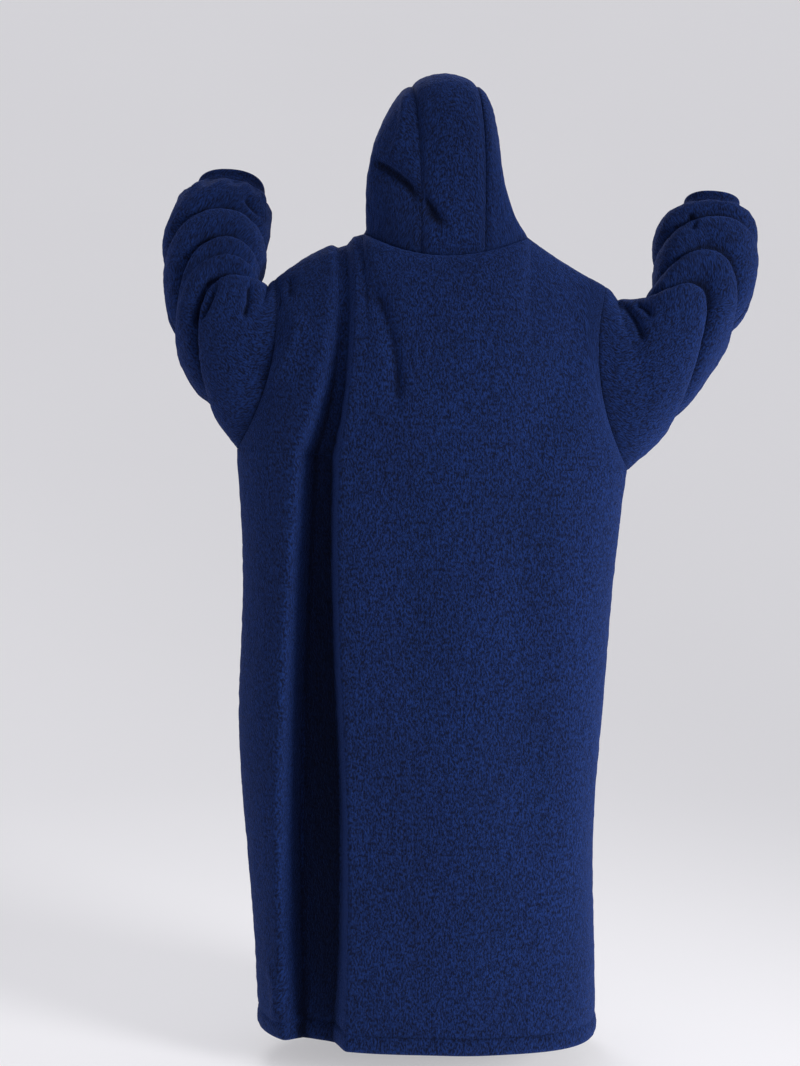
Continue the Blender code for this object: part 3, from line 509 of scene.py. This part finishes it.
def ring(sizes, share, angle):
    """Rounded rings between a sleeve's two edges, leaning forward as the table says."""
    value = {name: smooth(sizes, name, share) for name in sizes}
    lean = np.radians(value["lean"])
    across = np.sign(np.cos(angle)) * np.abs(np.cos(angle)) ** (2 / SLEEVE_BOX)
    deep = np.sign(np.sin(angle)) * np.abs(np.sin(angle)) ** (2 / SLEEVE_BOX) * value["half_y"]
    inward = (1 + across) / 2
    return points(
        value["out_x"] + (value["in_x"] - value["out_x"]) * inward,
        value["mid_y"] + deep * np.cos(lean),
        value["out_z"] + (value["in_z"] - value["out_z"]) * inward + deep * np.sin(lean),
    )


def cuff(end, before, share):
    """A narrow band that goes on from the sleeve's last ring, a little tighter in its middle."""
    along = unit((end - before).mean(axis=0))
    middle = end.mean(axis=0)
    shrink = 1 - CUFF_WAIST * np.sin(np.pi * share)
    return middle + (end - middle) * shrink + along * CUFF_LENGTH * share


def hood(columns, share):
    """The whole hood: rows from the face edge to the neck's back, columns from right to left."""
    value = {name: smooth(HOOD, name, share) for name in HOOD}
    rise = smooth(HOOD, "z", share + NUDGE) - smooth(HOOD, "z", share - NUDGE)
    run = smooth(HOOD, "y", share + NUDGE) - smooth(HOOD, "y", share - NUDGE)
    out_y, out_z = -rise / np.hypot(rise, run), run / np.hypot(rise, run)

    middle = (HOOD_RIGHT_SEAM + HOOD_LEFT_SEAM) / 2
    strip = np.clip((columns - middle) / (HOOD_LEFT_SEAM - middle), -1, 1)
    drop = HOOD_STRIP_DROP * strip**2
    seam = points(
        value["x"] + HOOD_STRIP_HALF * strip,
        value["y"] - out_y * drop,
        value["z"] - out_z * drop,
    )
    turn = np.pi / 2 * share
    right = neck_ring(np.pi / 2 - turn, True)
    left = neck_ring(np.pi / 2 + turn, True)
    down_right = np.clip((HOOD_RIGHT_SEAM - columns) / HOOD_RIGHT_SEAM, 0, 1)
    down_left = np.clip((columns - HOOD_LEFT_SEAM) / (NECK_BACK - HOOD_LEFT_SEAM), 0, 1)
    cloth = (
        seam * (1 - down_right - down_left)[:, None]
        + right * down_right[:, None]
        + left * down_left[:, None]
    )
    cloth[..., 0] = seam[..., 0]
    for down, neck, waist, turn_in in (
        (down_right, right, HOOD_WAIST_RIGHT, HOOD_ROUND_RIGHT),
        (down_left, left, HOOD_WAIST_LEFT, HOOD_ROUND_LEFT),
    ):
        reach = waist * (1 - (1 - down) ** turn_in) + (1 - waist) * down**HOOD_FLARE
        cloth[..., 0] += (neck[..., 0] - seam[..., 0]) * (down + (reach - down) * ease(share / FACE_REACH))
    bow = np.abs(np.sin(np.pi * (down_right + down_left))) ** HOOD_BOW
    sideways = np.where(columns < middle, -value["swell_right"], value["swell_left"])
    outwards = value["swell_out"] * bow
    cloth = cloth + points(sideways * bow, out_y * outwards, out_z * outwards)
    for line in (HOOD_RIGHT_SEAM, HOOD_LEFT_SEAM):
        near = np.exp(-(((columns - line) / SEAM_PRESS) ** 2))
        pressed = STITCH_DIP * near * np.sin(np.pi * share) ** PRESS_FADE
        cloth = cloth - points(0, out_y * pressed, out_z * pressed)
    nape = neck_ring(np.pi * columns / NECK_BACK, False)
    return cloth + (nape - cloth[-1]) * ease((share - NAPE_START) / (1 - NAPE_START))[..., None]


def value_noise(u, v, seed):
    """Smooth random numbers from -1 to 1: a lattice of them, blended with u^2 (3 - 2 u) in each cell."""
    lattice = np.random.default_rng(seed).uniform(-1, 1, (LATTICE, LATTICE))
    i, j = np.floor(u).astype(int), np.floor(v).astype(int)
    s, t = ease(u - i), ease(v - j)
    i0, i1, j0, j1 = i % LATTICE, (i + 1) % LATTICE, j % LATTICE, (j + 1) % LATTICE
    a, b = lattice[i0, j0], lattice[i1, j0]
    c, d = lattice[i0, j1], lattice[i1, j1]
    return (a + (b - a) * s) * (1 - t) + (c + (d - c) * s) * t


def grid_normals(grid):
    """Unit normals of a grid of points: the cross product of its two central differences."""
    along = np.gradient(grid, axis=0)
    across = np.gradient(grid, axis=1)
    return unit(np.cross(along, across))


def lengths(grid, axis):
    """Distance run along the grid from its first row or column, measured on the cloth."""
    step = np.linalg.norm(np.diff(grid, axis=axis), axis=-1)
    run = np.cumsum(step, axis=axis)
    return np.concatenate([np.zeros_like(np.take(run, [0], axis=axis)), run], axis=axis)


def cloth_uv(grid):
    """Metres across the cloth from its middle column, and along it from its first row."""
    across = lengths(grid, 1)
    across = across - across[:, across.shape[1] // 2, None]
    return across, lengths(grid, 0)


def edge_distance(grid, open_edges):
    """Metres along the row or column to the nearest sewn edge, and to the nearest open edge."""
    across, along = lengths(grid, 1), lengths(grid, 0)
    ways = {"first": along, "last": along[-1:] - along, "right": across, "left": across[:, -1:] - across}
    far = np.full(grid.shape[:2], FAR)
    sewn = np.minimum.reduce([far, *(way for name, way in ways.items() if name not in open_edges)])
    free = np.minimum.reduce([far, *(way for name, way in ways.items() if name in open_edges)])
    return sewn, free


def pile_relief(across, along, cloth, seed):
    """Height of the pile's clumps: three sheets of noise, stretched along the nap and bent by a fourth."""
    wide, long_ = cloth.clump_width, cloth.clump_length
    bend = BEND_SHARE * value_noise(across / (BEND_SIZE * wide), along / (BEND_SIZE * long_), seed + 5)
    big = value_noise(across / wide + bend, along / long_, seed)
    small = value_noise(across / wide * SMALL_SIZE, along / long_ * SMALL_SIZE + bend, seed + 1)
    broad = value_noise(across / (BROAD_SIZE * wide), along / (BROAD_SIZE * long_), seed + 2)
    return cloth.clump_height * (BIG_SHARE * big + SMALL_SHARE * small + BROAD_SHARE * broad)


def blurred(grid, reach):
    """Running mean of a grid of points over so many rows and columns each way, its edges held."""
    for axis in (0, 1):
        pad = [(reach + 1, reach) if a == axis else (0, 0) for a in range(3)]
        total = np.cumsum(np.pad(grid, pad, mode="edge"), axis=axis)
        span = 2 * reach + 1
        first = np.arange(grid.shape[axis])
        grid = (np.take(total, first + span, axis) - np.take(total, first, axis)) / span
    return grid


def painted_shade_in_hollows(grid, normal):
    """Painted shade from 0 to 1, where the cloth lies deeper than the mean of what is round it, in creases
    and in wide folds.
    """
    deep = [
        ((blurred(grid, reach) - grid) * normal).sum(axis=-1) / full
        for reach, full in HOLLOW_SCALES
    ]
    return ease(np.maximum.reduce(deep))


def crease_depth(x, z, creases):
    """How far the listed creases sink at x and z.

    Each one runs from its first point to its second, and falls off over one width on its right side and
    another on its left. It fades at both ends. Less than 0 is a ridge.
    """
    depth = 0.0
    for x0, z0, x1, z1, deep, right, left in zip(*creases.values()):
        length = np.hypot(x1 - x0, z1 - z0)
        along = ((x - x0) * (x1 - x0) + (z - z0) * (z1 - z0)) / length
        across = ((x - x0) * (z1 - z0) - (z - z0) * (x1 - x0)) / length
        bend = across - CREASE_BOW * length * np.sin(np.pi * np.clip(along / length, 0, 1))
        width = np.where(bend > 0, right, left)
        start = ease(along / (CREASE_START * length) + CREASE_START_AHEAD)
        end = ease((length - along) / (CREASE_END * length) + CREASE_END_AFTER)
        depth = depth + deep / (1 + (bend / width) ** 2) ** 2 * (start * end)
    return depth


def lay_cloth(name, grid, open_edges, cloth, seed):
    """One piece of fleece. Its outer side stands half a thickness off the grid and rounds into each seam.

    outer = grid + normal (half (1 - exp(-sewn / round)) (1 - exp(-free / edge)) + clumps - creases), and the
    inner side is the same the other way without the clumps, so both sides meet at the rim.
    """
    normal = grid_normals(grid)
    across, along = cloth_uv(grid)
    sewn, free = edge_distance(grid, open_edges)
    swell = (1 - np.exp(-sewn / cloth.seam_round)) * (1 - np.exp(-free / cloth.edge_round))
    rest = 1 - np.exp(-sewn / CREASE_CLEAR)
    half = RIM_HALF + (cloth.thickness / 2 - RIM_HALF) * swell
    facing = normal[..., 1]
    x, z = grid[..., 0], grid[..., 2]
    sunk = crease_depth(x, z, BACK_CREASES) * ease((facing - CREASE_TURN) * CREASE_RISE)
    sunk = sunk + crease_depth(x, z, FRONT_CREASES) * ease((-facing - CREASE_TURN) * CREASE_RISE)
    sunk = sunk * rest
    tufts = pile_relief(across, along, cloth, seed) * swell
    outer = grid + normal * (half + tufts - sunk)[..., None]
    # Painted shade: the pile's colour is darkened where the cloth lies deep in creases and folds, and along
    # each seam.
    shade = painted_shade_in_hollows(grid - normal * sunk[..., None], normal)
    shade = np.maximum(shade, PRESSED_SHADE * np.exp(-sewn / PRESSED_REACH))
    coarse = slice(None, None, INNER_STEP)
    inner = (grid - normal * (half + sunk)[..., None])[coarse, coarse]
    uv = np.stack([across, along], axis=-1)
    return join_sides(name, outer, inner, uv, uv[coarse, coarse], shade)


def join_sides(name, outer, inner, outer_uv, inner_uv, shade):
    """A closed mesh from a fine outer grid and a coarse inner one. Each rim step is one many-sided face."""
    rows, columns = outer.shape[:2]
    fine = np.arange(rows * columns).reshape(rows, columns)
    inner_count = inner.shape[0] * inner.shape[1]
    coarse = rows * columns + np.arange(inner_count).reshape(inner.shape[:2])

    def quads(n, turned):
        a, b, c, d = n[:-1, :-1], n[:-1, 1:], n[1:, 1:], n[1:, :-1]
        corners = (d, c, b, a) if turned else (a, b, c, d)
        return np.stack(corners, axis=-1).reshape(-1, 4)

    faces = [*quads(fine, True).tolist(), *quads(coarse, False).tolist()]
    rims = (
        (fine[0], coarse[0]),
        (fine[-1, ::-1], coarse[-1, ::-1]),
        (fine[::-1, 0], coarse[::-1, 0]),
        (fine[:, -1], coarse[:, -1]),
    )
    for fine_line, coarse_line in rims:
        for k in range(len(coarse_line) - 1):
            run = fine_line[k * INNER_STEP : (k + 1) * INNER_STEP + 1]
            faces.append([*run.tolist(), int(coarse_line[k + 1]), int(coarse_line[k])])
    vertices = np.concatenate([outer.reshape(-1, 3), inner.reshape(-1, 3)])
    mesh = bpy.data.meshes.new(name)
    mesh.from_pydata(vertices, [], faces)
    mesh.shade_smooth()
    uv = np.concatenate([outer_uv.reshape(-1, 2), inner_uv.reshape(-1, 2)])
    layer = mesh.uv_layers.new(name="cloth")
    vertex = np.empty(len(mesh.loops), np.int32)
    mesh.loops.foreach_get("vertex_index", vertex)
    layer.data.foreach_set("uv", uv[vertex].astype(np.float32).reshape(-1))
    # The painted shade goes to the material as the hollow attribute, and the inner side gets an even painted
    # shade.
    hollow = mesh.attributes.new("hollow", "FLOAT", "POINT")
    values = np.concatenate([shade.reshape(-1), np.full(inner_count, INNER_SHADE)])
    hollow.data.foreach_set("value", values.astype(np.float32))
    piece = bpy.data.objects.new(name, mesh)
    bpy.context.scene.collection.objects.link(piece)
    return piece


class Wire:
    """A shader socket whose arithmetic adds Math nodes."""

    def __init__(self, shader, socket):
        self.shader = shader
        self.socket = socket

    def _math(self, operation, *values):
        return self.shader.node("ShaderNodeMath", {"operation": operation}, *values)

    def __add__(self, other):
        return self._math("ADD", self, other)

    def __sub__(self, other):
        return self._math("SUBTRACT", self, other)

    def __rsub__(self, other):
        return self._math("SUBTRACT", other, self)

    def __mul__(self, other):
        return self._math("MULTIPLY", self, other)

    def __truediv__(self, other):
        return self._math("DIVIDE", self, other)

    __radd__ = __add__
    __rmul__ = __mul__


class Shader:
    """A material's node tree, with one method that adds any node."""

    def __init__(self, name):
        self.material = bpy.data.materials.new(name)
        self.material.use_nodes = True
        self.tree = self.material.node_tree
        self.surface = self.tree.nodes["Principled BSDF"]

    def node(self, kind, settings, *values, out=0, **named):
        """Adds a node, sets it, links or sets its sockets by place or by name, and returns one output."""
        made = self.tree.nodes.new(kind)
        for key, value in settings.items():
            setattr(made, key, value)
        sockets = [*zip(range(len(values)), values), *named.items()]
        for key, value in sockets:
            socket = made.inputs[key if isinstance(key, int) else key.replace("_", " ")]
            if isinstance(value, Wire):
                self.tree.links.new(value.socket, socket)
            elif value is not None:
                socket.default_value = value
        return Wire(self, made.outputs[out])

    def set(self, **sockets):
        for key, value in sockets.items():
            socket = self.surface.inputs[key.replace("_", " ")]
            if isinstance(value, Wire):
                self.tree.links.new(value.socket, socket)
            else:
                socket.default_value = value


def fleece_material(cloth):
    """Pile fleece: fine tufts drawn out along the nap, dark at their roots, on soft uneven clumps, with
    painted shade in creases, folds and seams.
    """
    s = Shader("navy_fleece")
    place = s.node("ShaderNodeUVMap", {"uv_map": "cloth"})

    def scaled(wide, long_):
        return s.node("ShaderNodeVectorMath", {"operation": "MULTIPLY"}, place, (1 / wide, 1 / long_, 1.0))

    def noise(at, detail, rough, out=0):
        return s.node(
            "ShaderNodeTexNoise", {"noise_dimensions": "2D"},
            Vector=at, Scale=1.0, Detail=detail, Roughness=rough, out=out,
        )

    curl = noise(scaled(*CURL_SIZE), 2.0, 0.6, out=1)
    pushed = s.node(
        "ShaderNodeVectorMath", {"operation": "MULTIPLY_ADD"},
        curl, CURL_PUSH, scaled(cloth.tuft_width, cloth.tuft_length),
    )
    tufts = noise(pushed, 3.0, 0.62)
    clumps = noise(scaled(cloth.clump_width, cloth.clump_length), 2.0, 0.6)
    clouds = noise(scaled(*CLOUD_SIZE), 2.0, 0.5)
    height = tufts + clumps * CLUMP_BUMP
    shade = s.node(
        "ShaderNodeMapRange", {"interpolation_type": "SMOOTHSTEP"},
        tufts * TUFT_TONE + clumps * CLUMP_TONE, ROOT_AT, TIP_AT, 0.0, 1.0,
    )
    lit = s.node(
        "ShaderNodeMix", {"data_type": "RGBA"}, shade, None, None, None, None, None,
        tuple(cloth.root_colour), tuple(cloth.tip_colour), out=2,
    )
    # Painted shade: the hollow attribute darkens the colour in creases, folds and seams, on top of the wide
    # random patches.
    deep = s.node("ShaderNodeAttribute", {"attribute_name": "hollow"}, out=2)
    patch_tone_and_painted_shade = (clouds * CLOUD_TONE + CLOUD_DARKEST) * (1 - deep * HOLLOW_PAINTED_SHADE)
    colour_with_painted_shade = s.node("ShaderNodeVectorMath", {"operation": "SCALE"}, lit, Scale=patch_tone_and_painted_shade)
    bump = s.node("ShaderNodeBump", {}, Strength=1.0, Distance=cloth.bump_depth, Height=height)
    s.set(Base_Color=colour_with_painted_shade, Roughness=0.95, Normal=bump)
    s.set(Sheen_Weight=cloth.sheen, Sheen_Roughness=0.5, Sheen_Tint=SHEEN_TINT)
    s.set(Specular_IOR_Level=0.12)
    return s.material


def stage_material():
    """Matt pale floor with faint wide patches, and a glow that keeps the backdrop even."""
    s = Shader("pale_floor")
    place = s.node("ShaderNodeTexCoord", {}, out=3)
    soft = s.node("ShaderNodeTexNoise", {}, Vector=place, Scale=0.6, Detail=2.0)
    patches = s.node(
        "ShaderNodeMix", {"data_type": "RGBA"}, soft, None, None, None, None, None,
        *FLOOR_COLOURS, out=2,
    )
    s.set(Base_Color=patches, Roughness=0.9)
    s.set(Emission_Color=FLOOR_GLOW_COLOUR, Emission_Strength=FLOOR_GLOW)
    return s.material


def size(name, description, default):
    return bpy.props.FloatProperty(
        name=name, description=description, default=default, subtype="DISTANCE", precision=4
    )


def colour(name, description, default):
    return bpy.props.FloatVectorProperty(
        name=name, description=description, default=default, size=4, subtype="COLOR"
    )


def number(name, description, default):
    return bpy.props.FloatProperty(name=name, description=description, default=default)


class HoodieCloth(bpy.types.PropertyGroup):
    thickness: size("Thickness", "Backing and pile together", 0.004)
    seam_round: size("Seam rounding", "How far from a seam the pile is pressed", 0.005)
    edge_round: size("Edge rounding", "How far from an open edge the cloth turns in", 0.002)
    clump_width: size("Clump width", "Width of a soft clump of tufts", 0.010)
    clump_length: size("Clump length", "Length of a clump along the nap", 0.016)
    clump_height: size("Clump height", "How far the clumps stand up", 0.0012)
    tuft_width: size("Tuft width", "Width of one tuft of pile", 0.0029)
    tuft_length: size("Tuft length", "Length of one tuft along the nap", 0.0054)
    bump_depth: size("Tuft relief", "Depth of the tufts in the material", 0.003)
    sheen: number("Sheen", "Weight of the pile's sheen", 0.22)
    root_colour: colour("Root colour", "Between the tufts", (0.0010, 0.0026, 0.0130, 1.0))
    tip_colour: colour("Tip colour", "On the tufts", (0.0056, 0.0195, 0.0960, 1.0))


class HoodieStage(bpy.types.PropertyGroup):
    floor: size("Floor", "Height of the floor", -1.40)
    distance: size("Camera distance", "From the garment's middle", 3.6)
    camera_height: size("Camera height", "Height of the camera", -0.23)
    camera_side: size("Camera side", "How far to the side the camera stands", 0.051)
    pitch: bpy.props.FloatProperty(
        name="Pitch", description="How far the camera looks down", default=np.radians(4.3), subtype="ANGLE"
    )
    lens: number("Lens", "Focal length in millimetres", 71.5)
    sky: number("Sky", "Strength of the even light", 0.43)
    key: number("Key", "Power of the main light in watts", 25.0)
    front_fill: number("Front fill", "Power of the light on the front in watts", 7.0)


def steps(stops, counts):
    """Evenly spaced values between stops, so many in each stretch, both ends included."""
    parts = [np.linspace(a, b, n, endpoint=False) for a, b, n in zip(stops[:-1], stops[1:], counts)]
    return np.concatenate([*parts, [stops[-1]]])


def dress(piece, cloth, node, grid):
    """Gives a piece its material, hangs it from the root and hides the node that it replaces. The diagonals
    of the grid's faces are taken but not used.
    """
    piece.data.materials.append(bpy.data.materials.get("navy_fleece") or fleece_material(cloth))
    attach(piece, "root")
    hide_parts(node)
    diagonals = grid[1:, 1:] - grid[:-1, :-1], grid[:-1, 1:] - grid[1:, :-1]


class HOODIE_OT_body(bpy.types.Operator):
    """Front and back, from the hem to the shoulders"""

    bl_idname = "hoodie.body"
    bl_label = "Body"

    def execute(self, context):
        cloth = context.scene.hoodie_cloth
        rows = steps((0, HEM_ROWS, SIDE_ROWS, PANEL_ROWS), PANEL_ROW_STEPS)
        for name, front, neck, seed in (
            ("back", False, NECK_BACK, SEED_BACK),
            ("front", True, NECK_FRONT, SEED_FRONT),
        ):
            last = SHOULDER_RIGHT + neck + SHOULDER_LEFT
            columns = steps((0, last), (PANEL_COLUMN_STEPS * last,))
            grid = panel(front, columns, rows[:, None])
            if front:
                grid = grid[:, ::-1]
            piece = lay_cloth(name + "_panel", grid, ("first",), cloth, seed)
            dress(piece, cloth, name, grid)
        return {"FINISHED"}


class HOODIE_OT_sleeves(bpy.types.Operator):
    """Both sleeves, each one piece wrapped round to a seam under the arm, with its cuff"""

    bl_idname = "hoodie.sleeves"
    bl_label = "Sleeves"

    def execute(self, context):
        cloth = context.scene.hoodie_cloth
        angle = np.linspace(np.pi, 3 * np.pi, SLEEVE_STEPS_ROUND + 1)
        along_sleeve = np.linspace(0, 1, SLEEVE_STEPS_ALONG + 1)[:, None]
        along_cuff = np.linspace(0, 1, CUFF_STEPS + 1)[:, None, None]
        for side, word in ((-1, "right"), (1, "left")):
            tube = sleeve(side, along_sleeve, angle)
            band = cuff(tube[-1], tube[CUFF_WAY_ROW], along_cuff)
            for node, grid, open_edges in (("sleeve_", tube, ()), ("cuff_", band, ("last",))):
                grid = grid[:, ::side]
                piece = lay_cloth(node + word + "_cloth", grid, open_edges, cloth, SEED_SLEEVE + side)
                dress(piece, cloth, node + word, grid)
        return {"FINISHED"}


class HOODIE_OT_hood(bpy.types.Operator):
    """The hood's middle strip and its two sides"""

    bl_idname = "hoodie.hood"
    bl_label = "Hood"

    def execute(self, context):
        cloth = context.scene.hoodie_cloth
        share = np.linspace(0, 1, HOOD_STEPS_ALONG + 1)[:, None]
        stretches = (
            ("hood_right", 0, HOOD_RIGHT_SEAM, HOOD_SIDE_STEPS),
            ("hood_centre", HOOD_RIGHT_SEAM, HOOD_LEFT_SEAM, HOOD_STRIP_STEPS),
            ("hood_left", HOOD_LEFT_SEAM, NECK_BACK, HOOD_SIDE_STEPS),
        )
        for seed, (node, start, end, count) in enumerate(stretches, SEED_HOOD):
            grid = hood(np.linspace(start, end, count + 1), share)[:, ::-1]
            piece = lay_cloth(node + "_cloth", grid, ("first",), cloth, seed)
            dress(piece, cloth, node, grid)
        return {"FINISHED"}


class HOODIE_OT_stage(bpy.types.Operator):
    """Pale floor that rises far out, soft lights and the camera"""

    bl_idname = "hoodie.stage"
    bl_label = "Stage"

    def execute(self, context):
        stage = context.scene.hoodie_stage
        turn = np.linspace(0, 2 * np.pi, FLOOR_STEPS_ROUND, endpoint=False)
        radius = np.array(FLOOR_RADII)[:, None]
        rise = FLOOR_RISE * np.maximum(radius - FLOOR_FLAT, 0) ** 2
        ground = points(radius * np.cos(turn), radius * np.sin(turn), stage.floor + rise)
        count = len(turn)
        number = np.arange(ground.shape[0] * count).reshape(-1, count)
        number = np.concatenate([number, number[:, :1]], axis=1)
        quads = np.stack([number[1:-1, :-1], number[2:, :-1], number[2:, 1:], number[1:-1, 1:]], axis=-1)
        middle = [[0, int(a), int(b)] for a, b in zip(number[1, :-1], number[1, 1:])]
        mesh = bpy.data.meshes.new("floor")
        mesh.from_pydata(ground.reshape(-1, 3), [], middle + quads.reshape(-1, 4).tolist())
        mesh.shade_smooth()
        floor = bpy.data.objects.new("floor", mesh)
        context.scene.collection.objects.link(floor)
        mesh.materials.append(stage_material())

        world = bpy.data.worlds.new("studio")
        context.scene.world = world
        world.use_nodes = True
        sky = world.node_tree.nodes["Background"]
        sky.inputs["Color"].default_value = SKY_COLOUR
        sky.inputs["Strength"].default_value = stage.sky

        for name, (place, width, aim) in LIGHTS.items():
            light = bpy.data.objects.new(name, bpy.data.lights.new(name, "AREA"))
            light.data.shape = "DISK"
            light.data.size = width
            light.data.spread = LIGHT_SPREAD
            light.data.energy = getattr(stage, name)
            light.visible_camera = False
            light.location = place
            way = np.array(aim) - np.array(place)
            light.rotation_euler = Vector(way).to_track_quat("-Z", "Y").to_euler()
            context.scene.collection.objects.link(light)

        camera = bpy.data.objects.new("camera", bpy.data.cameras.new("camera"))
        camera.data.lens = stage.lens
        camera.location = (stage.camera_side, stage.distance, stage.camera_height)
        camera.rotation_euler = (np.pi / 2 - stage.pitch, 0, np.pi)
        context.scene.collection.objects.link(camera)
        context.scene.camera = camera
        context.scene.view_settings.view_transform = "Standard"
        return {"FINISHED"}


class HOODIE_PT_sidebar(bpy.types.Panel):
    bl_label = "Blanket hoodie"
    bl_idname = "HOODIE_PT_sidebar"
    bl_space_type = "VIEW_3D"
    bl_region_type = "UI"
    bl_category = "Hoodie"

    def draw(self, context):
        for group in (context.scene.hoodie_cloth, context.scene.hoodie_stage):
            for name in group.__annotations__:
                self.layout.prop(group, name)
        for operator in OPERATORS:
            self.layout.operator(operator.bl_idname)


OPERATORS = (HOODIE_OT_body, HOODIE_OT_sleeves, HOODIE_OT_hood, HOODIE_OT_stage)
CLASSES = (HoodieCloth, HoodieStage, *OPERATORS, HOODIE_PT_sidebar)


def register():
    for cls in CLASSES:
        bpy.utils.register_class(cls)
    bpy.types.Scene.hoodie_cloth = bpy.props.PointerProperty(type=HoodieCloth)
    bpy.types.Scene.hoodie_stage = bpy.props.PointerProperty(type=HoodieStage)


def unregister():
    del bpy.types.Scene.hoodie_stage
    del bpy.types.Scene.hoodie_cloth
    for cls in reversed(CLASSES):
        bpy.utils.unregister_class(cls)


def main():
    register()
    bpy.ops.hoodie.body()
    bpy.ops.hoodie.sleeves()
    bpy.ops.hoodie.hood()
    bpy.ops.hoodie.stage()


if __name__ == "__main__":
    main()
